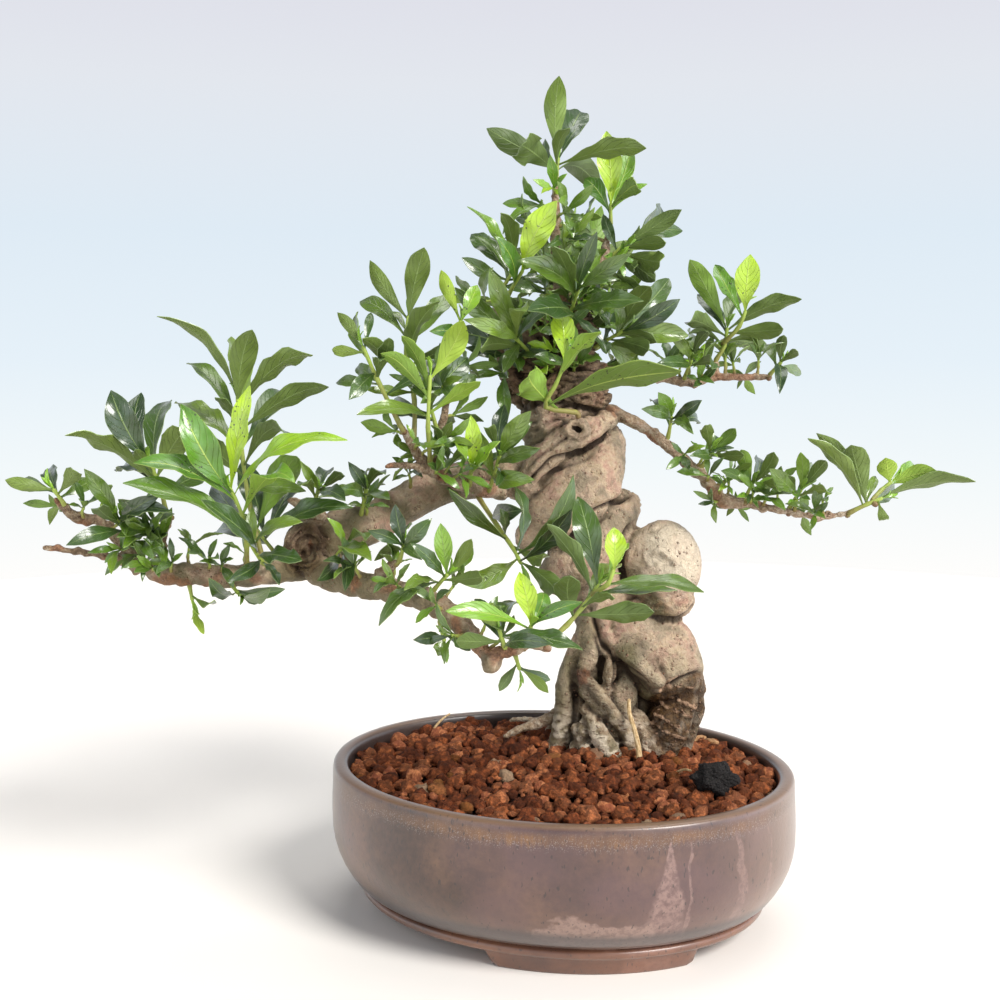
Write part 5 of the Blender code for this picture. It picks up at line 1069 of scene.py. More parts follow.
    # Pale skin painted on the ball's upper right, stronger on right-facing skin, as a painted highlight
    # where the light falls, and papery pale flakes on the low roots
    ball_light = unit(2.1 - (spot - Vector(BALL_LIGHT_CENTRE)).length / 10.0)
    pale_flakes_and_light = 0.9 * ball_light * min(max(1.1 + 1.2 * wrinkle + 0.9 * rightward, 0.3), 1.0)
    if spot.z < PAPERY_BELOW and spot.y < 22.0:
        pale_flakes_and_light = unit((drawn_noise(spot, 4.0, 2.4, 0.0, (1, 7, 3)) + 0.03) / 0.12)
        pale_flakes_and_light *= unit((PAPERY_BELOW - spot.z) / 10.0)
        rise += 0.35 * pale_flakes_and_light
    # The ball's ragged dimple
    aside = spot.x - BALL_DIMPLE[0]
    dent = math.hypot(aside / 1.5, spot.z - BALL_DIMPLE[2] + 0.35 * aside)
    if dent < 7.0 and spot.y < 20.0:
        dent += 2.4 * noise.noise(spot / 3.4 + Vector((2, 6, 1)))
        rise += -1.2 * bell(dent, 2.4, 4) + 0.6 * bell(dent - 3.4, 0.7)
        gloom = max(gloom, 0.3 * bell(dent - 2.4, 0.5))
    # Olive algae, laid thicker as painted shade on skin that faces left or down, away from the light; more
    # on the limb and low left roots and less on the ball's lit side
    shade = 0.08 - 0.55 * rightward - 0.25 * normals[index, 2]
    shade += (0.52 if spot.x < -22.0 else 0.24 if spot.x < 24.0 and spot.z < 98.0 else 0.0) - 0.3 * ball_light
    moss_and_shade = unit(0.36 + shade + 0.8 * noise.noise(spot / 11.0 + Vector((8, 2, 5))))
    lift[index] = rise
    dark[index] = gloom
    zones[index, 1:] = 1.0 - unit((thick - 1.6) / 3.4), flaky, moss_and_shade
    marks[index, :2] = rusty, pale_flakes_and_light
lift -= FOLD_DEPTH * fold
lift += carved
spots += normals * lift[:, None]
wood.data.vertices.foreach_set("co", spots.reshape(-1))
edge_ends = np.empty(len(wood.data.edges) * 2, int)
wood.data.edges.foreach_get("vertices", edge_ends)
edge_ends = edge_ends.reshape(-1, 2)
valence = np.bincount(edge_ends.reshape(-1), minlength=count).astype(float)


def neighbour_mean(values, times=1):
    """Mean over the points that share an edge with each point of the wood, again and again."""
    for step in range(times):
        total = np.zeros((count, values.shape[1]))
        for axis in range(values.shape[1]):
            total[:, axis] += np.bincount(edge_ends[:, 0], values[edge_ends[:, 1], axis], count)
            total[:, axis] += np.bincount(edge_ends[:, 1], values[edge_ends[:, 0], axis], count)
        values = total / np.maximum(valence, 1.0)[:, None]
    return values


# Hollows of two sizes, both painted darker as shade: a point is in a hollow where its eased neighbourhood
# stands over it
wood.data.update()
normals = np.array([vertex.normal for vertex in wood.data.vertices])
eased = neighbour_mean(spots, FINE_EASING)
hollow = np.clip(((eased - spots) * normals).sum(1) / 0.9, 0.0, 1.0)
hollow = np.maximum(np.maximum(hollow, creased), np.maximum(0.7 * fold, dark))[:, None]
hollow = 0.6 * hollow + 0.4 * neighbour_mean(hollow)
zones[:, 0] = hollow[:, 0]
# Broad hollows between the lobes, painted dark olive as shade
eased = neighbour_mean(eased, BROAD_EASING - FINE_EASING)
marks[:, 2] = curled
marks[:, 3] = np.clip(((eased - spots) * normals).sum(1) / 2.0, 0.0, 1.0)
paint(wood, "bark_zone", zones)
paint(wood, "bark_marks", marks)
work(wood, "DECIMATE", ratio=THINNED)
wood.data.transform(tree_place)
wood.data.shade_smooth()

# Bark: a thin satin skin, pinkish tan with olive algae; painted shade makes it olive where it
# faces away from the light and dark in the creases and hollows, and a painted highlight makes it
# paler on the ball's lit side. Small corky lumps sit in it a few millimetres apart; roots have
# short cracks across and papery layers, twigs are redder and rougher.
bark, tree, shader = new_material("thin_pinkish_tan_bark", roughness=0.54)
place = add_node(tree, "TexCoord", output="Object")
squeezed = add_node(tree, "Mapping", {0: place, 3: (1.0, 1.0, 3.2)})
zone = add_node(tree, "VertexColor", layer_name="bark_zone")
mark = add_node(tree, "VertexColor", layer_name="bark_marks")
moss_and_shade_share = zone.node.outputs["Alpha"]
broad_hollow_shade = mark.node.outputs["Alpha"]
zone = add_node(tree, "SeparateColor", (zone,)).node.outputs
mark = add_node(tree, "SeparateColor", (mark,)).node.outputs
blotch, some, short, fibre, grit = (
    add_node(tree, "TexNoise", {"Vector": where, "Scale": scale, "Detail": detail, "Roughness": rough})
    for where, scale, detail, rough in (
        (place, 75.0, 6.0, 0.62), (place, 130.0, 2.0, 0.5), (squeezed, 330.0, 3.0, 0.55),
        (place, 700.0, 6.0, 0.65), (place, 1900.0, 3.0, 0.6)))
wrinkles = add_node(tree, "TexNoise", {
    "Vector": place, "Scale": 260.0, "Detail": 5.0, "Roughness": 0.7, "Distortion": 1.2})
base = add_node(tree, "ValToRGB", (blotch,), stops=(
    (0.30, "#948870"), (0.42, "#baaa92"), (0.52, "#dac9b3"), (0.62, "#d1b5a1"), (0.75, "#a3937f")))
dirt = add_node(tree, "ValToRGB", (fibre,), stops=((0.3, "#564a3c"), (0.46, "#8a7f71"), (0.7, "#b9ae9f")))
colour = add_node(tree, "Mix", {0: 0.5, 6: base, 7: dirt}, output=2, data_type="RGBA", blend_type="OVERLAY")
altitude = add_node(tree, "SeparateXYZ", (place,), output=2)
rooty = add_node(tree, "MapRange", (altitude, 0.108, 0.092, 0.08, 0.7))
# Olive algae and painted shade on skin that faces away from the light
algae_and_shade = add_node(tree, "MapRange", (moss_and_shade_share, 0.48, 0.95, 0.0, 0.82))
# Painted shade in the broad hollows between the lobes
broad_hollow_shade = add_node(tree, "MapRange", (broad_hollow_shade, 0.08, 0.75, 0.0, 0.8))
twiggy = add_node(tree, "MULTIPLY_ADD", (blotch, 0.7, fibre))
twiggy = add_node(tree, "ValToRGB", (twiggy,), stops=(
    (0.62, "#5a3f2c"), (0.8, "#94745a"), (0.92, "#b9a288"), (1.1, "#cfc0aa")))
flaky = add_node(tree, "MULTIPLY_ADD", (blotch, 0.8, fibre))
flaky = add_node(tree, "ValToRGB", (flaky,), stops=((0.7, "#211007"), (0.86, "#422711"), (1.02, "#644522")))
rusty = add_node(tree, "ValToRGB", (fibre,), stops=((0.35, "#6b3b20"), (0.6, "#a8683f")))
# Short cracks run across the roots below the swollen trunk
short = add_node(tree, "MapRange", (short, 0.61, 0.69))
short = add_node(tree, "MULTIPLY", (short, rooty))
# Painted shade: dark in the creases, folds and small hollows
crease_shade = add_node(tree, "MapRange", (zone[0], 0.14, 0.85, 0.0, 0.9))
# Corky lumps: pale pink ones in loose groups and a few brown ones
lumps = add_node(tree, "TexVoronoi", {"Vector": place, "Scale": 400.0, "Randomness": 1.0})
lumps = add_node(tree, "MapRange", (lumps, 0.12, 0.26, 1.0, 0.0))
some = add_node(tree, "MapRange", (some, 0.46, 0.56))
lumps = add_node(tree, "MULTIPLY", (lumps, some))
dots = add_node(tree, "TexVoronoi", {"Vector": place, "Scale": 220.0, "Randomness": 1.0})
dots = add_node(tree, "MapRange", (dots, 0.05, 0.12, 1.0, 0.0))
curl_share = add_node(tree, "MapRange", (mark[2], 0.25, 0.7, 0.0, 0.9))
# The pale share paints the ball's highlight and the low roots' papery flakes
greyish, pale_flakes_and_light, twig_share, root_share, rust_share, lump_share, dot_share = (
    add_node(tree, "MULTIPLY", (value, share))
    for value, share in ((rooty, 0.7), (mark[1], 0.85), (zone[1], 0.7), (zone[2], 0.9),
                         (mark[0], 0.8), (lumps, 0.6), (dots, 0.6)))
for share, tone in (
    (greyish, "#9c9273"), (algae_and_shade, "#6e6542"), (broad_hollow_shade, "#54462b"), (pale_flakes_and_light, "#ecdcc2"),
    (twig_share, twiggy), (root_share, flaky), (rust_share, rusty), (short, "#75523a"),
    (crease_shade, "#38281b"), (lump_share, "#d6ab8e"), (dot_share, "#96603f"), (curl_share, "#cba586"),
):
    colour = add_node(tree, "Mix", {0: share, 6: colour, 7: tone}, output=2, data_type="RGBA")
relief = fibre
for bump, share in ((lumps, 2.2), (dots, 1.6), (wrinkles, 2.3), (grit, 0.35), (short, -1.0)):
    relief = add_node(tree, "MULTIPLY_ADD", (bump, share, relief))
sheen = add_node(tree, "MapRange", (root_share, 0.0, 1.0, 0.5, 0.15))
wire(tree, shader, colour, relief, 1.0, 0.001, specular_ior_level=sheen)
wood.data.materials.append(bark)
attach(wood, "root")
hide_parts("trunk_and_limbs")

# Standing dry root: a thin pale root, dead and dry, that leans on the front of the trunk.
DRY_ROOT = ((28.5, 8, 82, 0.7), (28.6, 6, 77, 0.9), (30.4, 3.2, 71, 1.0), (31.8, 0.2, 64, 1.15),
            (32, -2.4, 56, 1.3), (32, -3, 49, 1.2))
dry = add_mesh("dry_root", *round_tube(smooth_route(DRY_ROOT, ROUTE_STEPS), 12), tree_place)
straw = grained_material(
    "pale_dry_stalk", 1400.0, 4.0, 0.5, ((0.3, "#8d6c44"), (0.5, "#c7a878"), (0.7, "#e2cda4")), 0.7, 0.0004,
    stretch=(1.0, 1.0, 0.25), roughness=0.75)[0]
dry.data.materials.append(straw)
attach(dry, "root")
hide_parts("trunk_and_limbs")

# Straws: two thin dry stalks that fell on the grains, each a little arched and thinner to
# one end. One falls across its box, the other along it.
STRAW_RADIUS = 0.62
STRAW_TAPER = 0.35
STRAW_ARCH = 0.9
for node_name in ("straw_1", "straw_2"):
    low, high = (Vector(corner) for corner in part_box(node_name))
    if node_name == "straw_1":
        low.y, high.y = high.y, low.y
    route = []
    for index in range(7):
        share = index / 6
        point = (low / MM).lerp(high / MM, 0.04 + 0.92 * share)
        point += Vector((0, 0, STRAW_ARCH * math.sin(math.pi * share)))
        route.append((*point, STRAW_RADIUS * (1.0 - STRAW_TAPER * share)))
    stalk = add_mesh("dry_" + node_name, *round_tube(smooth_route(route, 3), 10), Matrix.Scale(MM, 4))
    stalk.data.materials.append(straw)
    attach(stalk, "root")
    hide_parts(node_name)

# Leafy shoots: each is a green stem that starts on the wood and carries its blades at the
# golden angle. Gardenia leaves are leathery, folded along a pale rib, and glossy on top.
SHOOTS = (
    ("crown_top", ((-1, 36, 291), (0, 36, 301)), ((1.0, 0, 30, 333, 11), (0.6, -29, 22, 311, 10),
        (0.0, -15, 8, 302, 14), (0.5, 34, 14, 303, 9), (0.9, 11, 66, 325, 11), (0.2, -6, 74, 310, 11),
        (0.0, 20, 78, 294, 11))),
    ("crown_fresh", ((22, 42, 273), (22, 40, 283)), ((1.0, 19, 36, 313, 12), (0.8, 32, 16, 289, 9),
        (0.7, 32, 60, 308, 9), (0.3, 13, 62, 296, 9))),
    ("crown_right", ((19, 42, 260), (27, 40, 266)), ((1.0, 50, 30, 280, 9), (0.9, 58, 44, 277, 8),
        (0.7, 43, 20, 266, 8), (0.4, 41, 16, 258, 10), (0.2, 40, 30, 251, 10), (0.8, 49, 72, 286, 10))),
    ("crown_left", ((-24, 28, 247), (-18, 26, 256)), ((1.0, -36, 22, 281, 5), (0.9, -23, 4, 277, 8),
        (0.6, -36, 44, 272, 8), (0.3, -39, 20, 260, 8), (0.2, -29, 60, 271, 9))),
    ("crown_fresh_left", ((-24, 30, 238), (-20, 17, 246), (-15, 8, 254)), ((1.0, -2, -4, 280, 13),
        (0.5, -24, -8, 265, 7))),
    ("crown_core_front", ((4, 22, 236), (7, 8, 247)), ((1.0, 25, -10, 259, 8), (0.9, 14, -8, 268, 8),
        (0.7, -2, -20, 264, 8), (0.6, -16, -16, 258, 8), (0.3, 29, -16, 242, 10), (0.2, -13, -24, 238, 9))),
    ("crown_core_back", ((7, 50, 244), (13, 66, 258)), ((1.0, 21, 84, 286, 12), (0.9, -1, 90, 284, 12),
        (0.6, 40, 96, 276, 12), (0.4, -15, 96, 269, 12), (0.2, 23, 112, 252, 13), (0.2, 39, 90, 251, 12))),
    ("crown_back_low", ((2, 56, 226), (3, 72, 232)), ((1.0, 4, 96, 260, 13), (0.9, -24, 104, 247, 13),
        (0.7, 32, 108, 247, 13), (0.3, -10, 118, 228, 13), (0.3, 19, 120, 226, 13),
        (0.5, -33, 84, 235, 12))),
    ("crown_shoot", ((-6, 2, 201), (-2, -2, 210), (2, -4, 220)), ((1.0, 2, -6, 244, 10),
        (0.2, 44, -22, 214, 9), (0.0, -13, -20, 213, 15), (0.6, 14, -20, 230, 6))),
    ("crown_mid_left", ((-12, 22, 222), (-19, 8, 229)), ((1.0, -41, 0, 247, 9), (0.8, -35, -14, 235, 8),
        (0.6, -28, -2, 254, 9), (0.3, -31, -16, 223, 9), (0.3, -42, 24, 231, 10), (0.7, -16, -22, 245, 8))),
    ("crown_mid_right", ((16, 30, 225), (26, 22, 231)), ((1.0, 47, 10, 243, 9), (0.9, 35, 4, 248, 9),
        (0.6, 53, 24, 229, 9), (0.4, 34, -2, 223, 9), (0.3, 34, 30, 217, 8), (0.7, 47, 44, 253, 10))),
    ("centre_top", ((-57, -9, 186), (-57, -4, 204), (-60, -6, 222), (-59, -6, 236)),
        ((1.0, -73, -14, 257, 8), (0.95, -52, -20, 261, 10), (0.8, -80, 16, 243, 9),
        (0.7, -42, 14, 247, 9), (0.5, -46, -30, 241, 8), (0.3, -76, -26, 227, 7))),
    ("centre_top_fresh", ((-42, -2, 225), (-39, -4, 234)), ((1.0, -46, -12, 253, 7),
        (0.8, -32, 8, 247, 7), (0.5, -50, -20, 230, 6))),
    ("centre_left", ((-63, -14, 197), (-70, -18, 212), (-75, -20, 224)), ((1.0, -84, -26, 237, 5),
        (0.95, -85, -34, 223, 5), (0.8, -79, 0, 238, 6), (0.6, -79, -34, 205, 7), (0.4, -80, 0, 216, 7),
        (0.5, -64, -36, 227, 6))),
    ("centre_fresh", ((-51, -7, 177), (-51, -19, 194), (-50, -21, 213)), ((1.0, -37, -28, 234, 10),
        (0.5, -31, -36, 211, 7), (0.8, -60, -30, 228, 6), (0.7, -68, -34, 223, 7))),
    ("centre_mid", ((-47, -3, 189), (-51, -7, 203)), ((1.0, -39, 0, 225, 14), (0.8, -36, 14, 215, 10),
        (0.6, -48, 24, 223, 10), (0.2, -73, -24, 214, 10), (0.1, -77, -28, 199, 7),
        (0.5, -68, 16, 203, 9))),
    ("centre_yellow", ((-34, 2, 170), (-35, -4, 177)), ((1.0, -35, -10, 198, 8), (0.5, -24, -16, 189, 5))),
    ("centre_right", ((-28, 10, 169), (-24, -4, 182)), ((1.0, -12, -14, 200, 8), (0.9, -22, 4, 202, 7),
        (0.7, -9, -20, 186, 8), (0.5, -35, -16, 189, 7), (0.2, -12, -16, 174, 8), (0.6, -31, -24, 199, 6))),
    ("left_tall", ((-116, -8, 141), (-122, -4, 165), (-125, -2, 188), (-126, -2, 205)),
        ((1.0, -152, -8, 238, 6), (0.95, -117, -16, 232, 12), (0.92, -94, -22, 224, 10),
        (0.8, -149, 16, 220, 9), (0.75, -90, -8, 211, 9), (0.8, -137, 40, 228, 10),
        (0.6, -115, 36, 207, 11), (0.55, -158, 30, 201, 10), (0.45, -100, -36, 194, 10),
        (0.35, -134, -34, 190, 10))),
    ("left_fresh", ((-122, -10, 137), (-120, -21, 149), (-120, -26, 160), (-124, -30, 172)),
        ((1.0, -116, -32, 210, 9), (0.95, -139, -40, 203, 14), (0.9, -81, -44, 193, 7),
        (0.8, -154, -44, 185, 6), (0.6, -97, -60, 181, 6))),
    ("left_low", ((-112, -7, 138), (-114, -22, 143), (-117, -31, 152)), ((1.0, -160, -44, 175, 6),
        (0.8, -95, -50, 162, 6), (0.6, -130, -56, 170, 7), (0.4, -122, -44, 140, 7),
        (0.5, -95, -50, 148, 6))),
    ("left_inner", ((-112, -2, 143), (-120, 0, 153)), ((1.0, -101, -12, 184, 13),
        (0.7, -82, -18, 175, 8), (0.8, -144, 30, 174, 11), (0.5, -107, 30, 170, 10),
        (0.3, -143, 34, 148, 10), (0.5, -128, 14, 179, 11))),
    ("left_outer", ((-151, -13, 158), (-154, -14, 171), (-157, -16, 180)), ((1.0, -170, -20, 208, 12),
        (0.9, -165, 6, 206, 9), (0.6, -140, -28, 194, 13), (0.4, -183, -34, 193, 8),
        (0.7, -159, 26, 203, 10), (0.3, -179, 22, 175, 10), (0.2, -142, 10, 175, 9))),
    ("left_outer_low", ((-165, -19, 149), (-167, -26, 160)), ((1.0, -175, -40, 180, 7),
        (0.8, -150, -44, 176, 7), (0.6, -168, -50, 168, 7), (0.5, -144, -46, 166, 6),
        (0.3, -180, -44, 154, 6))),
    ("left_tip", ((-187, -26, 165), (-190, -28, 171)), ((1.0, -204, -40, 176, 7),
        (0.8, -206, -20, 173, 6), (0.6, -178, -40, 181, 7), (0.5, -199, -4, 177, 7),
        (0.3, -179, -14, 174, 7))),
    ("left_hanging", ((-143, -16, 133), (-142, -17, 128)), ((1.0, -136, -24, 116, 3),
        (0.6, -130, -34, 131, 3))),
    ("left_under", ((-127, -14, 133), (-124, -20, 131)), ((1.0, -109, -36, 135, 4),
        (0.8, -130, -40, 138, 4), (0.6, -117, -10, 126, 5), (0.5, -106, -20, 132, 5))),
    ("limb_top_one", ((-98, -4, 160), (-94, -10, 169)), ((1.0, -99, -20, 181, 5),
        (0.9, -82, -24, 178, 5), (0.7, -81, -34, 168, 5), (0.6, -101, -34, 172, 5),
        (0.5, -93, 16, 175, 6), (0.4, -81, 4, 168, 5))),
    ("limb_top_two", ((-78, 0, 161), (-76, -4, 169)), ((1.0, -82, -10, 180, 5), (0.9, -67, -20, 178, 5),
        (0.7, -65, -26, 167, 4), (0.5, -84, -24, 171, 5), (0.5, -76, 20, 175, 5))),
    ("limb_under", ((-89, -12, 142), (-83, -24, 149)), ((1.0, -86, -36, 161, 4), (0.9, -70, -44, 158, 4),
        (0.7, -70, -50, 148, 5), (0.5, -90, -40, 139, 5), (0.6, -80, -44, 136, 5))),
    ("lower_twig", ((-61, -35, 146), (-59, -38, 152)), ((1.0, -62, -40, 167, 6), (0.9, -49, -46, 162, 6),
        (0.8, -71, -46, 158, 5), (0.6, -52, -54, 149, 5), (0.7, -59, -10, 154, 5),
        (0.5, -71, -20, 144, 5))),
    ("lower_mid", ((-50, -42, 133), (-43, -46, 142)), ((1.0, -45, -50, 161, 8), (0.9, -34, -54, 156, 7),
        (0.8, -54, -60, 155, 6), (0.6, -29, -60, 144, 6), (0.4, -67, -60, 128, 5),
        (0.5, -35, -24, 150, 7), (0.3, -57, -64, 140, 4))),
    ("lower_under", ((-46, -45, 128), (-44, -51, 119)), ((1.0, -46, -54, 114, 6),
        (0.8, -54, -60, 121, 5), (0.6, -35, -40, 113, 5))),
    ("knob_fresh", ((-17, -64, 122), (-13, -66, 127)), ((1.0, -17, -68, 146, 8), (0.9, 4, -74, 137, 6),
        (0.8, -42, -78, 135, 7), (0.7, -8, -52, 137, 7))),
    ("knob_dark", ((-22, -64, 119), (-24, -64, 125)), ((1.0, -30, -70, 136, 9), (0.9, 4, -82, 127, 7),
        (0.8, -34, -58, 142, 7), (0.6, -11, -90, 137, 7), (0.5, -39, -80, 125, 6),
        (0.4, -16, -36, 131, 7))),
    ("knob_low", ((-18, -60, 114), (-17, -61, 111)), ((1.0, -7, -68, 104, 4), (0.8, -6, -58, 106, 4),
        (0.5, -24, -66, 104, 4))),
    ("front_shoot", ((-8, -60, 119), (0, -58, 126), (8, -56, 135), (11, -56, 140)),
        ((1.0, 4, -48, 171, 11), (0.98, 48, -60, 139, 6), (0.95, -7, -60, 166, 6),
        (0.85, 41, -40, 135, 6), (0.35, 29, -72, 133, 8), (0.3, 0, -76, 146, 13), (0.6, 21, -30, 145, 7))),
    ("front_fresh", ((9, -58, 137), (14, -61, 141), (16, -61, 146)), ((1.0, 16, -60, 161, 9),
        (0.5, 23, -44, 153, 5))),
    ("limb_shoot", ((-32, 12, 164), (-25, -4, 155), (-19, -18, 148), (-16, -24, 143)),
        ((0.9, 4, -34, 175, 9), (1.0, 2, -44, 166, 8), (0.6, -43, -24, 171, 7), (0.75, -18, -10, 176, 5),
        (0.3, -9, -20, 164, 8), (1.0, -3, -44, 135, 9), (0.95, -38, -46, 139, 7), (0.7, -7, -40, 147, 7))),
    ("right_low_one", ((45, 26, 188), (46, 22, 196)), ((1.0, 40, 16, 206, 6), (0.9, 56, 10, 203, 6),
        (0.7, 32, 6, 200, 6), (0.6, 51, 0, 192, 5), (0.5, 61, 44, 194, 6), (0.4, 40, 46, 202, 6))),
    ("right_low_two", ((58, 22, 175), (62, 20, 182)), ((1.0, 71, 14, 192, 6), (0.9, 57, 4, 194, 6),
        (0.7, 73, 4, 182, 6), (0.5, 51, 0, 182, 5), (0.6, 73, 42, 186, 6))),
    ("right_low_three", ((76, 18, 163), (78, 16, 169)), ((1.0, 72, 8, 184, 6), (0.9, 84, 2, 183, 6),
        (0.7, 63, 0, 176, 5), (0.5, 85, -6, 169, 5), (0.6, 86, 40, 179, 6))),
    ("right_low_four", ((94, 16, 160), (97, 12, 167)), ((1.0, 95, 4, 183, 7), (0.9, 104, -2, 181, 6),
        (0.7, 81, -4, 177, 6), (0.5, 104, -10, 169, 5), (0.6, 109, 38, 175, 7))),
    ("right_end", ((117, 12, 158), (124, 10, 162), (129, 10, 164)), ((0.4, 114, 2, 187, 14),
        (0.6, 110, 22, 196, 7), (0.1, 91, -4, 188, 7), (1.0, 164, 2, 171, 7), (0.9, 127, -6, 157, 5),
        (0.3, 145, 34, 174, 8))),
    ("right_end_fresh", ((125, 10, 162), (130, 14, 167), (134, 15, 170)), ((1.0, 132, 16, 180, 9),
        (0.9, 151, 4, 173, 9), (0.6, 147, 26, 177, 7))),
    ("right_up_main", ((67, 42, 219), (70, 40, 225), (71, 40, 232)), ((1.0, 53, 26, 260, 10),
        (0.95, 98, 22, 244, 9), (0.9, 63, 62, 249, 10), (0.7, 88, 14, 231, 8), (0.6, 52, 12, 235, 8),
        (0.4, 94, 66, 223, 9), (0.8, 87, 76, 250, 10))),
    ("right_up_fresh", ((70, 39, 227), (75, 34, 233), (77, 32, 239)), ((1.0, 78, 28, 262, 11),
        (0.8, 67, 50, 259, 7))),
    ("right_up_end", ((91, 44, 214), (94, 42, 218)), ((1.0, 94, 36, 230, 5), (0.9, 99, 30, 223, 5),
        (0.7, 90, 20, 207, 6), (0.6, 106, 58, 213, 5), (0.5, 91, 60, 226, 6))),
    ("right_up_mid", ((53, 36, 213), (55, 32, 219)), ((1.0, 45, 22, 231, 6), (0.9, 60, 18, 231, 6),
        (0.7, 40, 10, 219, 6), (0.5, 61, 8, 217, 5), (0.6, 58, 60, 232, 6))),
)
# Shoots of young leaves, and those that grow on another shoot instead of the wood
FRESH_SHOOTS = (
    "crown_fresh", "crown_fresh_left", "crown_shoot", "centre_top_fresh", "centre_fresh", "centre_yellow",
    "left_fresh", "left_hanging", "knob_fresh", "front_fresh", "right_end_fresh", "right_up_fresh",
)
CARRIERS = {"front_fresh": "front_shoot", "right_end_fresh": "right_end", "right_up_fresh": "right_up_main"}
# Further leaves by rule on the fuller shoots: how many, and their length
MORE_LEAVES = {
    "crown_top": (2, 26.0), "crown_fresh": (1, 20.0), "crown_right": (3, 24.0), "crown_left": (4, 24.0),
    "crown_core_front": (4, 24.0), "crown_core_back": (2, 26.0), "crown_mid_left": (4, 22.0),
    "crown_mid_right": (5, 23.0), "centre_top": (3, 22.0), "centre_left": (4, 22.0),
    "centre_mid": (4, 22.0), "centre_right": (4, 20.0), "left_tall": (3, 26.0), "left_low": (2, 20.0),
    "left_inner": (2, 22.0), "left_outer": (2, 22.0), "limb_shoot": (1, 20.0), "front_shoot": (1, 20.0),
    "right_up_main": (3, 22.0), "right_end": (1, 18.0),
}
GAP = 0.3
LARGE_BLADE_THICKNESS = 0.7
SMALL_BLADE_THICKNESS = 0.6
LARGE_BLADE_LENGTH = 38.0
TINY_BLADE_LENGTH = 20.0
LARGE_BLADE_STATIONS = ((0.36, 0.82), (0.68, 0.95))
SMALL_BLADE_STATIONS = ((0.58, 1.0),)
BLADE_ROOT = 0.25
LEAF_BREADTH = 0.275
FREE_FROM = 0.12
LEAF_ATTEMPTS = 40
LEAF_TURN = 0.6
BLADE_FOLD = 0.22
BLADE_ARCH = 0.10
LEAF_SEED = 7
GOLDEN_ANGLE = math.radians(137.5)
STEM_SIDES = 4
STEM_BASE_RADIUS = 1.25
STEM_TIP_RADIUS = 0.9
PLAIN_DOME = ((0.62, 0.62),)


def plain_swelling(centre, radii, seed, rows=6, sides=10, rough=0.04):
    """A few-sided ball that a leaf has to keep clear of."""
    rng = random.Random(seed)
    points = [Vector((centre[0], centre[1], centre[2] - radii[2]))]
    for row in range(1, rows):
        tilt = math.pi * row / rows
        for side in range(sides):
            turn = 2.0 * math.pi * (side + 0.5 * (row % 2)) / sides
            reach = 1.0 + rough * rng.uniform(-1.0, 1.0)
            points.append(Vector((
                centre[0] + radii[0] * reach * math.sin(tilt) * math.cos(turn),
                centre[1] + radii[1] * reach * math.sin(tilt) * math.sin(turn),
                centre[2] - radii[2] * reach * math.cos(tilt),
            )))
    points.append(Vector((centre[0], centre[1], centre[2] + radii[2])))
    top = len(points) - 1
    faces = []
    for side in range(sides):
        after = (side + 1) % sides
        faces.append((0, 1 + after, 1 + side))
        faces.append((top, top - sides + side, top - sides + after))
    for row in range(rows - 2):
        low = 1 + row * sides
        high = low + sides
        for side in range(sides):
            after = (side + 1) % sides
            if row % 2 == 0:
                faces.append((low + side, low + after, high + side))
                faces.append((low + after, high + after, high + side))
            else:
                faces.append((low + side, low + after, high + after))
                faces.append((low + side, high + after, high + side))
    return points, faces


def tree_of(solids):
    """A search tree over solids, which tells what runs into them."""
    return BVHTree.FromPolygons(*joined(solids))


def plain_stem(route, seat_normal, swell=0.0):
    """The four-sided stem that others keep clear of, its first ring flat on its seat."""
    points = []
    for index, (centre, (_, side, other)) in enumerate(zip(route, carried_frames(route))):
        share = index / (len(route) - 1)
        radius = STEM_BASE_RADIUS + (STEM_TIP_RADIUS - STEM_BASE_RADIUS) * share + swell
        if index == 0:
            side = (side - seat_normal * side.dot(seat_normal)).normalized()
            other = seat_normal.cross(side)
        points += ring_points(centre, side, other, [radius] * STEM_SIDES)
    return points, band_faces(len(route), STEM_SIDES)


def seat_stem(stem, carrier):
    """Start the stem on the carrier's surface, the gap away from it."""
    inner, outer = stem[:2]
    aim = inner - outer
    hit, normal, _, _ = carrier.ray_cast(outer, aim.normalized(), aim.length + 6.0)
    if hit is None:
        hit, normal, _, _ = carrier.find_nearest(inner)
        if (outer - hit).dot(normal) < 0.0:
            hit, normal, _, _ = carrier.find_nearest(outer)
    if normal.dot(outer - hit) < 0.0:
        normal = -normal
    seat = hit + normal * (GAP + 0.1)
    route = [seat]
    if (inner - seat).length > 4.0 and (inner - hit).dot(normal) > 1.5:
        route.append(inner)
    return route + stem[1:], normal


def along(route, share):
    """The place that a share of the route's length leads to."""
    lengths = [(b - a).length for a, b in zip(route, route[1:])]
    target = share * sum(lengths)
    for start, end, length in zip(route, route[1:], lengths):
        if target <= length:
            return start.lerp(end, target / length)
        target -= length
    return route[-1].copy()


def blade_facing(base, tip, apex, axis, seen_share):
    """The way a blade's upper face looks: rolled to show the seen share of its
    width from the front, and otherwise as near to the shoot's tip as it can."""
    along_leaf = (tip - base).normalized()
    middle = (base + tip) * 0.5
    inward = apex + axis * (tip - base).length * 0.8 - middle
    inward = (inward - along_leaf * inward.dot(along_leaf)).normalized()
    sight = (middle - Vector(FRONT_EYE)).normalized()
    broad = along_leaf.cross(sight).normalized()
    roll = math.acos(min(seen_share, 1.0))
    choices = []
    for angle in (roll, -roll, math.pi - roll, math.pi + roll):
        side = Matrix.Rotation(angle, 3, along_leaf) @ broad
        choices.append(side.cross(along_leaf))
    return max(choices, key=lambda facing: facing.dot(inward))


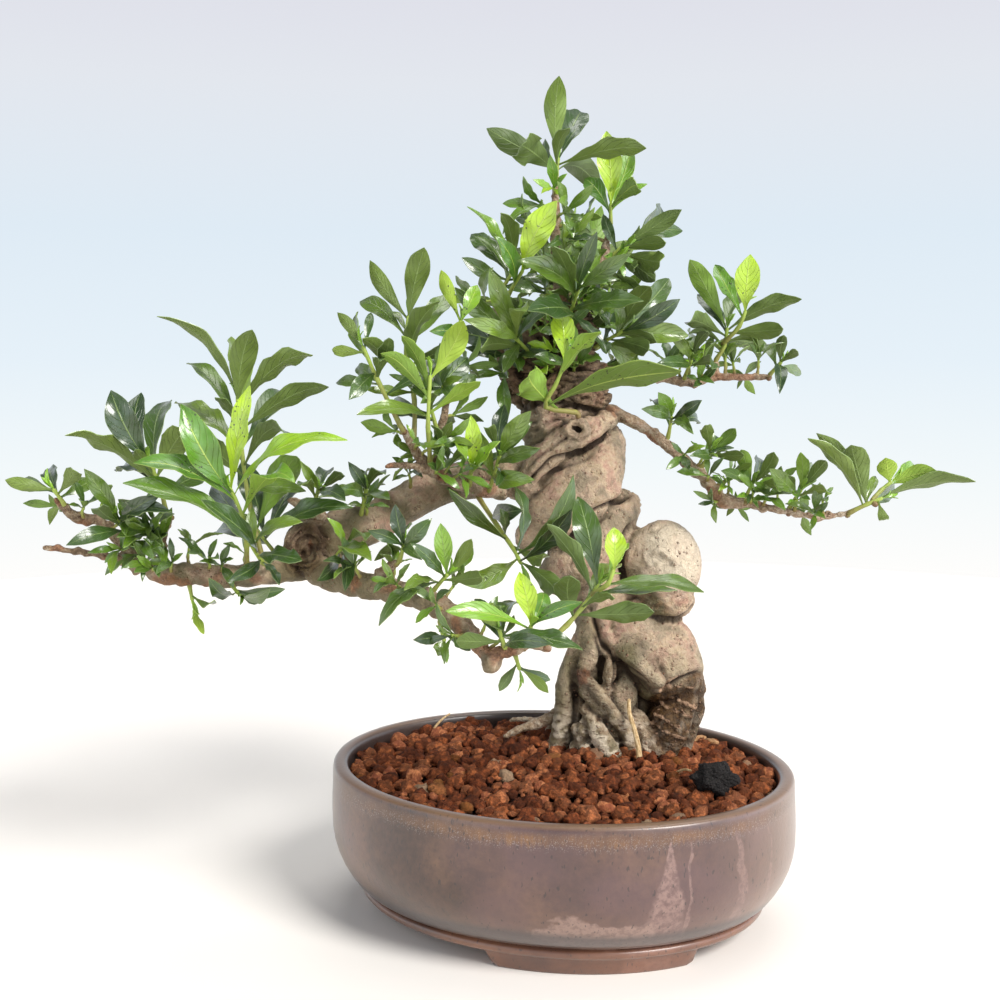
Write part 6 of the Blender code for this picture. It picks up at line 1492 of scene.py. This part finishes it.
def plain_blade(leaf, swell=0.0, start=0.0):
    """The flat-sided blade that others keep clear of."""
    base, tip, facing, width = leaf["base"], leaf["tip"], leaf["facing"], leaf["width"]
    span = tip - base
    length = span.length
    side = span.normalized().cross(facing)
    tiny = length < TINY_BLADE_LENGTH
    large = length > LARGE_BLADE_LENGTH
    half = (LARGE_BLADE_THICKNESS if large else SMALL_BLADE_THICKNESS) * 0.5 + swell
    upper = [base + span * start + facing * (4.0 * BLADE_ARCH * length * start * (1.0 - start))]
    for share, breadth in LARGE_BLADE_STATIONS if large else SMALL_BLADE_STATIONS:
        reach = width * 0.5 * breadth + swell
        centre = base + span * share + facing * (4.0 * BLADE_ARCH * length * share * (1.0 - share))
        raised = facing * (BLADE_FOLD * reach)
        upper += [centre - side * reach + raised, centre + side * reach + raised]
        if not tiny:
            upper.append(centre)
    upper.append(tip + span.normalized() * swell)
    if tiny:
        top_faces = [(0, 2, 1), (1, 2, 3)]
        rim = [0, 2, 3, 1]
    elif large:
        top_faces = [(0, 3, 1), (0, 2, 3), (1, 3, 6), (1, 6, 4), (3, 2, 5), (3, 5, 6), (4, 6, 7), (6, 5, 7)]
        rim = [0, 2, 5, 7, 4, 1]
    else:
        top_faces = [(0, 3, 1), (0, 2, 3), (1, 3, 4), (3, 2, 4)]
        rim = [0, 2, 4, 1]
    points = [point + facing * half for point in upper] + [point - facing * half for point in upper]
    shift = len(upper)
    faces = top_faces + [tuple(corner + shift for corner in reversed(face)) for face in top_faces]
    for here, after in zip(rim, rim[1:] + rim[:1]):
        faces.append((here + shift, after + shift, after, here))
    return points, faces


def leaves_by_rule(name, route):
    """Leaves set round the stem by the golden angle, steeper towards its end."""
    count, length = MORE_LEAVES.get(name, (0, 0.0))
    rng = random.Random(name)
    axis = (route[-1] - route[0]).normalized()
    side = axis.orthogonal().normalized()
    start = rng.uniform(0.0, 2.0 * math.pi)
    leaves = []
    for index in range(count):
        share = 0.1 + 0.8 * (index + 0.5) / count
        turn = start + index * GOLDEN_ANGLE
        lean = math.radians(72.0 - 34.0 * share + rng.uniform(-8.0, 8.0))
        outward = Matrix.Rotation(turn, 3, axis) @ side
        span = length * rng.uniform(0.8, 1.1)
        tip = along(route, share) + (axis * math.cos(lean) + outward * math.sin(lean)) * span
        leaves.append((share, *tip, span * LEAF_BREADTH * rng.uniform(0.6, 1.0)))
    return leaves


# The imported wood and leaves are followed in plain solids, so that each leaf lands where the
# packed one is: turned, slid and shrunk step by step until it runs into nothing
plain_wood = []
for index, (name, sides, route) in enumerate(LOBES):
    rough = 0.06 if route[0][3] > 2.0 else 0.02
    plain_wood.append(round_tube(route, sides, PLAIN_DOME, rough, random.Random(100 + index)))
for index, (name, centre, radii) in enumerate(SWELLINGS):
    plain_wood.append(plain_swelling(centre, radii, 200 + index))
for name, centre, across, up, thickness, turn in CALLUSES:
    plain_wood.append(ring_of_callus(centre, across, up, thickness, turn, 10, 5))
wood_tree = tree_of(plain_wood)
shoots = {}
for name, stem, leaves in SHOOTS:
    carrier_tree = shoots[CARRIERS[name]]["stem_tree"] if name in CARRIERS else wood_tree
    route, normal = seat_stem([Vector(point) for point in stem], carrier_tree)
    shoots[name] = {
        "tone": "fresh" if name in FRESH_SHOOTS else "dark",
        "route": route,
        "normal": normal,
        "stem_tree": tree_of([plain_stem(route, normal)]),
        "clearance": tree_of([plain_stem(route, normal, GAP)]),
        "leaves": [],
    }
grown = []
rng = random.Random(LEAF_SEED)
for name, stem, leaves in SHOOTS:
    shoot = shoots[name]
    route = shoot["route"]
    axis = (route[-1] - route[-2]).normalized()
    others = [wood_tree] + [shoots[key]["clearance"] for key in shoots if key != name] + grown
    own = []
    for share, *tip, width in [*leaves, *leaves_by_rule(name, route)]:
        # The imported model's leaves draw one number more before they are placed
        rng.random()
        for attempt in range(LEAF_ATTEMPTS):
            reach = LEAF_TURN * attempt / LEAF_ATTEMPTS
            turn, tilt, slide = [reach * rng.uniform(-1.0, 1.0) for _ in range(3)]
            scale = 1.0 - 0.25 * attempt / LEAF_ATTEMPTS
            base = along(route, max(0.12, min(0.25 + 0.72 * share + slide, 0.97)))
            outward = Vector(tip) - base
            outward = (outward - axis * outward.dot(axis)).normalized()
            base -= outward * (BLADE_ROOT + rng.uniform(-0.12, 0.12))
            span = Vector(tip) - base
            sideways = span.cross(Vector((0.0, 0.0, 1.0))).normalized()
            span = Matrix.Rotation(turn, 3, "Z") @ span
            span = Matrix.Rotation(tilt, 3, sideways) @ span
            end = base + span * scale
            breadth = max(width, LEAF_BREADTH * (end - base).length)
            facing = blade_facing(base, end, route[-1], axis, width / breadth)
            leaf = {"base": base, "tip": end, "facing": facing, "width": breadth}
            body = tree_of([plain_blade(leaf, 0.25)])
            if any(body.overlap(other) for other in others):
                continue
            outer_part = tree_of([plain_blade(leaf, 0.05, FREE_FROM)])
            if any(outer_part.overlap(other) for other in own):
                continue
            shoot["leaves"].append(leaf)
            own.append(outer_part)
            grown.append(body)
            break

# A blank of each fineness is a flat grid with thickness; every leaf is bent from a copy
BLADE_SHEET = 0.34
LEAF_OUTLINE = (
    (0.0, 0.07), (0.05, 0.07), (0.13, 0.14), (0.22, 0.31), (0.33, 0.57), (0.43, 0.79), (0.53, 0.95),
    (0.61, 1.0), (0.7, 0.97), (0.8, 0.82), (0.88, 0.58), (0.94, 0.34), (0.98, 0.15), (1.0, 0.03),
)
BLANKS = (("broad", 17, 4), ("middling", 12, 4), ("little", 7, 2))
BROAD_ABOVE = 30.0
LITTLE_BELOW = 15.0
TWIG_SIDES = 8
LEAF_SMOOTH_ANGLE = 60.0
blanks = {}
for name, lengthways, across in BLANKS:
    blank = new_shape(bpy.ops.mesh.primitive_grid_add, name,
                      x_subdivisions=lengthways, y_subdivisions=across, size=2.0)
    work(blank, "SOLIDIFY", thickness=0.1)
    points, faces = take_apart(blank)
    spots = np.array(points)
    blanks[name] = ((spots[:, 0] + 1.0) / 2.0, spots[:, 1], spots[:, 2] < -0.05, faces)


def bend_leaf(leaf, rng):
    """Points, faces and lengthways and sideways places of one blade bent from its blank."""
    base, tip, facing, width = leaf["base"], leaf["tip"], leaf["facing"], leaf["width"]
    span = np.array(tip - base)
    length = float(np.linalg.norm(span))
    fineness = "broad" if length > BROAD_ABOVE else "middling" if length > LITTLE_BELOW else "little"
    s, v, under, faces = blanks[fineness]
    hump = 4.0 * s * (1.0 - s)
    places, breadths = zip(*LEAF_OUTLINE)
    fullest = rng.uniform(-0.03, 0.04)
    width = width * rng.uniform(0.72, 0.98)
    half = 0.5 * width * np.interp(np.clip(s - fullest * 4.0 * s * (1.0 - s), 0.0, 1.0), places, breadths)
    half = np.maximum(half, np.where(s < 0.1, 0.42, 0.1))
    up = np.array(facing)
    side = np.cross(span / length, up)
    twist = (math.radians(rng.uniform(-38.0, 38.0)) * (s - 0.35))[:, None]
    side_here = side * np.cos(twist) + up * np.sin(twist)
    up_here = up * np.cos(twist) - side * np.sin(twist)
    arch = BLADE_ARCH * rng.uniform(0.5, 1.5)
    curl = rng.uniform(-0.2, 0.7)
    sway = rng.uniform(-0.06, 0.06)
    centre = np.array(base) + span * s[:, None]
    centre = centre + up * (length * (arch * hump - curl * np.maximum(s - 0.62, 0.0) ** 2))[:, None]
    centre = centre + side * (length * sway * hump)[:, None]
    phase = rng.uniform(0.0, 6.28)
    waves = rng.uniform(2.0, 3.6)
    phase = phase + np.where(v > 0, 1.7, 0.0)
    ripple = rng.uniform(0.10, 0.34) * v ** 2 * np.sin(2.0 * math.pi * waves * s + phase)
    fold = rng.uniform(0.12, 0.46)
    rise = half * (fold * np.abs(v) ** 1.25 + ripple)
    rise = rise + np.where(under, -0.5, 0.5) * BLADE_SHEET
    points = centre + side_here * (half * v)[:, None] + up_here * rise[:, None]
    return points, faces, s, v, under


def dress_shoot(name, stems, leaves, rng, materials):
    """One mesh of round green stems and bent leaves, with tone and blade places for the materials."""
    bodies = []
    tones = []
    blade_uv = []
    slots = []
    for route, thick, thin in stems:
        smooth = smooth_route([(*point, 0.0) for point in route], 3)
        for index, point in enumerate(smooth):
            share = index / (len(smooth) - 1)
            point[3] = thick + (thin - thick) * share + 0.12 * math.sin(index * 2.4)
        points, faces = round_tube(smooth, TWIG_SIDES)
        bodies.append((points, faces))
        slots += [1] * len(faces)
        shares = [index // TWIG_SIDES / (len(points) / TWIG_SIDES - 1) for index in range(len(points))]
        tones += [(share, 0.0, 0.0, 1.0) for share in shares]
        blade_uv += [(share, 0.5) for share in shares]
    for leaf in leaves:
        points, faces, s, v, under = bend_leaf(leaf, rng)
        own = leaf.get("tone", rng.random())
        bodies.append((points, faces))
        slots += [0] * len(faces)
        tones += [(own, 1.0 if low_side else 0.0, leaf.get("young", 0.0), 1.0) for low_side in under]
        blade_uv += list(zip(s, v * 0.5 + 0.5))
    made = add_mesh(name, *joined(bodies), tree_place)
    paint(made, "leaf_tone", tones)
    uv_layer = made.data.uv_layers.new(name="blade")
    corners = np.empty(len(made.data.loops), int)
    made.data.loops.foreach_get("vertex_index", corners)
    uv_layer.data.foreach_set("uv", np.array(blade_uv, np.float32)[corners].reshape(-1))
    for material in materials:
        made.data.materials.append(material)
    made.data.polygons.foreach_set("material_index", slots)
    smooth_up_to(made, LEAF_SMOOTH_ANGLE)
    return made


# Leaf: a leathery blade with a waxy upper face. Old leaves are dark green and glossy, young
# ones thin and yellow green; the underside is paler and duller. Rib and side veins are pale.
VEIN_PAIRS = 8.0
# Each look: its name, tones from old to young, rib, underside and roughness
LEAF_LOOKS = {
    "dark": ("old_gardenia_leaf", ((0.0, "#274019"), (0.4, "#3a571b"), (0.75, "#546f1e"), (1.0, "#728d28")),
             "#8fa65c", "#6f8330", 0.31),
    "fresh": ("young_gardenia_leaf",
              ((0.0, "#33571f"), (0.35, "#5f9023"), (0.7, "#82ad1f"), (1.0, "#a8ca25")),
              "#bdd25c", "#93ad35", 0.33),
}
leaf_materials = {}
for tone_name, (title, tones, rib_tone, under_tone, gloss) in LEAF_LOOKS.items():
    blade, tree, shader = new_material(title, ior=1.5, specular_ior_level=0.85, coat_roughness=0.2)
    place = add_node(tree, "TexCoord", output="Object")
    own = add_node(tree, "VertexColor", layer_name="leaf_tone")
    own, under, young = add_node(tree, "SeparateColor", (own,)).node.outputs
    blade_map = add_node(tree, "UVMap", uv_map="blade")
    blade_map = add_node(tree, "SeparateXYZ", (blade_map,)).node.outputs
    sideways = add_node(tree, "SUBTRACT", (blade_map[1], 0.5))
    sideways = add_node(tree, "ABSOLUTE", (sideways,))
    mottle = add_node(tree, "TexNoise", {"Vector": place, "Scale": 160.0, "Detail": 3.0})
    brightness = add_node(tree, "MapRange", (mottle, 0.3, 0.7, 0.85, 1.15))
    base = add_node(tree, "ValToRGB", (own,), stops=tones)
    colour = add_node(tree, "HueSaturation", {"Value": brightness, "Color": base})
    paler = add_node(tree, "MapRange", (own, 0.0, 1.0, 0.35, 0.75))
    paler = add_node(tree, "MULTIPLY", (paler, under))
    rib = add_node(tree, "MapRange", (sideways, 0.01, 0.034, 0.9, 0.0))
    slant = add_node(tree, "MULTIPLY_ADD", (sideways, -0.7, -0.25))
    slant = add_node(tree, "MULTIPLY_ADD", (slant, sideways, blade_map[0]))
    slant = add_node(tree, "MULTIPLY", (slant, VEIN_PAIRS))
    slant = add_node(tree, "PINGPONG", (slant, 0.5))
    veins = add_node(tree, "MapRange", (slant, 0.0, 0.09, 1.0, 0.0))
    seen = add_node(tree, "MULTIPLY", (veins, 0.12))
    seen = add_node(tree, "MULTIPLY_ADD", (rib, 0.7, seen), use_clamp=True)
    margin = add_node(tree, "MapRange", (sideways, 0.47, 0.495, 0.0, 0.3))
    seen = add_node(tree, "MAXIMUM", (seen, margin))
    layers = [(paler, under_tone), (young, "#8fbf2a"), (seen, rib_tone)]
    if tone_name == "fresh":
        # Sooty specks in loose groups on some of the young leaves
        soot = add_node(tree, "TexVoronoi", {"Vector": place, "Scale": 620.0})
        soot = add_node(tree, "MapRange", (soot, 0.2, 0.27, 1.0, 0.0))
        group = add_node(tree, "TexNoise", {"Vector": place, "Scale": 110.0, "Detail": 1.0})
        group = add_node(tree, "MapRange", (group, 0.56, 0.6, 0.0, 0.9))
        layers.append((add_node(tree, "MULTIPLY", (soot, group)), "#2f3316"))
    for share, tone in layers:
        colour = add_node(tree, "Mix", {0: share, 6: colour, 7: tone}, output=2, data_type="RGBA")
    dull = add_node(tree, "MULTIPLY_ADD", (under, 0.28, gloss))
    wax = add_node(tree, "MapRange", (under, 0.0, 1.0, 0.45, 0.0))
    grooves = add_node(tree, "MULTIPLY_ADD", (rib, 0.8, veins))
    grooves = add_node(tree, "MULTIPLY_ADD", (grooves, -0.5, mottle))
    wire(tree, shader, colour, grooves, 0.7, 0.0007, roughness=dull, coat_weight=wax)
    leaf_materials[tone_name] = blade
stem_skin, tree, shader = new_material("green_shoot_skin", roughness=0.5)
place = add_node(tree, "TexCoord", output="Object")
own = add_node(tree, "VertexColor", layer_name="leaf_tone")
own = add_node(tree, "SeparateColor", (own,))
fibre = add_node(tree, "TexNoise", {"Vector": place, "Scale": 500.0, "Detail": 3.0})
age = add_node(tree, "MULTIPLY_ADD", (fibre, 0.5, own))
tone = add_node(tree, "ValToRGB", (age,), stops=((0.3, "#7a5a41"), (0.6, "#8d8448"), (1.0, "#9bb04a")))
wire(tree, shader, tone, fibre, 0.5, 0.0004)

# Each packed shoot gets its stem, its bent leaves and a few tiny leaves at its tip
STEM_SUNK = 2.5
TIP_LEAVES = 3
# Leaves whose own age shows in front, from 0 for old to 1 for young
LEAF_TONES = {("crown_shoot", 1): 0.0, ("crown_shoot", 2): 0.3}
YOUNG_LEAVES = {("crown_top", 0): 0.12}
for name, shoot in shoots.items():
    rng = random.Random("dress " + name)
    route = [shoot["route"][0] - shoot["normal"] * STEM_SUNK, *shoot["route"]]
    axis = (route[-1] - route[-2]).normalized()
    side = axis.orthogonal().normalized()
    leaves = list(shoot["leaves"])
    for index, leaf in enumerate(leaves):
        if shoot["tone"] == "fresh":
            leaf["tone"] = 1.0 if index == 0 else rng.uniform(0.0, 0.8)
        elif index == 0 and rng.random() < 0.3:
            leaf["young"] = rng.uniform(0.2, 0.6)
        if (name, index) in LEAF_TONES:
            leaf["tone"] = LEAF_TONES[name, index]
        leaf["young"] = YOUNG_LEAVES.get((name, index), leaf.get("young", 0.0))
    for index in range(TIP_LEAVES):
        outward = Matrix.Rotation(index * 2.2 + rng.uniform(0, 6.28), 3, axis) @ side
        lean = rng.uniform(0.15, 0.5)
        way = (axis * math.cos(lean) + outward * math.sin(lean)).normalized()
        facing = (-outward + way * outward.dot(way)).normalized()
        length = rng.uniform(5.0, 9.0)
        leaves.append({"base": route[-1] - axis * 0.4, "tip": route[-1] + way * length, "facing": facing,
                       "width": length * 0.27, "young": rng.uniform(0.3, 1.0)})
    piece = dress_shoot("leaves_of_" + name, [(route, 1.2, 0.7)], leaves, rng,
                        (leaf_materials[shoot["tone"]], stem_skin))
    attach(piece, "root")
    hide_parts("shoot_" + name)

# Small side rosettes: short green spurs with four to six little leaves break from the bark
# between the shoots and fill the crown. Each lot along the named routes is one piece.
# Each source: the wood's route, the shares of it where spurs begin and end, how many, leaf length
SPUR_LOTS = (
    ("crown", "dark", (
        ("neck", 0.0, 0.5, 8, 18.0), ("crown stem", 0.0, 0.75, 13, 19.0), ("left stub", 0.35, 1.0, 6, 17.0),
        ("crown left twig", 0.1, 0.9, 4, 16.0), ("crown right twig", 0.0, 0.9, 6, 18.0))),
    ("crown_tips", "fresh", (
        ("crown stem", 0.1, 0.9, 4, 13.0), ("crown right twig", 0.2, 0.9, 2, 13.0),
        ("neck", 0.1, 0.6, 3, 12.0))),
    ("centre", "dark", (
        ("centre branch", 0.3, 1.0, 8, 14.0), ("centre upright twig", 0.1, 0.9, 5, 15.0),
        ("left limb", 0.25, 0.95, 6, 12.0))),
    ("left", "dark", (
        ("left branch", 0.22, 0.65, 7, 14.0), ("left side twig", 0.1, 0.9, 5, 13.0),
        ("left upright twig", 0.1, 0.95, 5, 16.0), ("front branch", 0.25, 0.95, 8, 12.0))),
    ("right", "dark", (("right branch", 0.3, 0.95, 15, 12.5), ("upper right branch", 0.3, 0.95, 10, 13.0))),
    ("right_tips", "fresh", (("right branch", 0.4, 0.95, 3, 9.0), ("upper right branch", 0.4, 0.9, 2, 9.0))),
)
wood_routes = {lobe[0]: smooth_route(lobe[2], ROUTE_STEPS) for lobe in LOBES}
for lot, tone_name, sources in SPUR_LOTS:
    rng = random.Random("spurs " + lot)
    stems = []
    leaves = []
    for lobe_name, first, last, number, reach in sources:
        route = wood_routes[lobe_name]
        for index in range(number):
            at = first + (last - first) * (index + rng.uniform(0.2, 0.8)) / number
            at = min(int(at * (len(route) - 1)), len(route) - 2)
            centre = Vector(route[at][:3])
            axis = (Vector(route[at + 1][:3]) - centre).normalized()
            way = Vector((rng.uniform(-1, 1), rng.uniform(-1.2, 0.8), rng.uniform(-0.3, 1.4)))
            way = (way - axis * way.dot(axis)).normalized()
            foot = centre + way * (route[at][3] - 0.8)
            top = centre + way * (route[at][3] + rng.uniform(2.0, 6.0))
            top += Vector((0, 0, rng.uniform(0.5, 2.0)))
            stems.append(([foot, foot.lerp(top, 0.5) + axis * rng.uniform(-0.6, 0.6), top], 0.75, 0.5))
            grow = (top - foot).normalized()
            side = grow.orthogonal().normalized()
            for leaf_index in range(rng.randint(4, 6)):
                outward = Matrix.Rotation(leaf_index * 2.4 + index, 3, grow) @ side
                lean = rng.uniform(0.35, 1.25)
                lead = (grow * math.cos(lean) + outward * math.sin(lean)).normalized()
                facing = (grow - lead * grow.dot(lead)).normalized()
                length = reach * rng.uniform(0.6, 1.15)
                base = top - grow * rng.uniform(0.0, 1.2)
                leaves.append({"base": base, "tip": base + lead * length, "facing": facing,
                               "width": length * rng.uniform(0.26, 0.36), "young": rng.uniform(0.0, 0.35)})
    piece = dress_shoot("small_rosettes_" + lot, stems, leaves, rng, (leaf_materials[tone_name], stem_skin))
    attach(piece, "root")

# Floor and light: a plain pale floor, a broad soft light high on the right, a weaker one on
# the left, one from behind, and a pale sky all round that is brighter on the right.
FLOOR_RADIUS = 0.95
# Each light: its name, the way to it, its spread in degrees, its power and its tint
LIGHTS = (
    ("key", (1.05, -0.5, 1.0), 24.0, 3.5, (1.0, 0.98, 0.95)),
    ("fill", (-0.9, -1.0, 0.55), 60.0, 0.7, (0.93, 0.97, 1.0)),
    ("top", (0.0, 0.5, 1.4), 40.0, 1.0, (1.0, 0.99, 0.97)),
)
floor = new_shape(
    bpy.ops.mesh.primitive_circle_add, "floor", vertices=96, radius=FLOOR_RADIUS, fill_type="NGON")
pale, tree, shader = new_material("pale_painted_floor", roughness=0.7)
place = add_node(tree, "TexCoord", output="Object")
cloud = add_node(tree, "TexNoise", {"Vector": place, "Scale": 3.0, "Detail": 2.0})
tone = add_node(tree, "ValToRGB", (cloud,), stops=((0.3, "#f4efe8"), (0.7, "#faf6f0")))
tree.links.new(tone, shader.inputs["Base Color"])
floor.data.materials.append(pale)
floor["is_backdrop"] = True
for name, way, spread, power, tint in LIGHTS:
    lamp = bpy.data.lights.new(name, "SUN")
    lamp.angle = math.radians(spread)
    lamp.energy = power
    lamp.color = tint
    holder = bpy.data.objects.new(name, lamp)
    holder.rotation_euler = Vector(way).to_track_quat("Z", "Y").to_euler()
    bpy.context.scene.collection.objects.link(holder)
bpy.context.scene.view_settings.view_transform = "Standard"
world = bpy.data.worlds.new("studio")
world.use_nodes = True
bpy.context.scene.world = world
tree = world.node_tree
way = add_node(tree, "TexCoord", output="Generated")
rightward, _, up = add_node(tree, "SeparateXYZ", (way,)).node.outputs
up = add_node(tree, "MapRange", (up, -0.25, 0.75))
sky = add_node(tree, "ValToRGB", (up,), stops=(
    (0.1, "#fffefc"), (0.17, "#f3f9fb"), (0.25, "#e6f1f9"), (0.34, "#dfebf5"), (0.44, "#e3e7ee"),
    (0.52, "#dedee8"), (0.66, "#8b8d94"), (1.0, "#66686e")))
tree.links.new(sky, tree.nodes["Background"].inputs[0])
rightward = add_node(tree, "MapRange", (rightward, 0.3, 0.95, 1.0, 2.4))
tree.links.new(rightward, tree.nodes["Background"].inputs[1])

low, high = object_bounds()
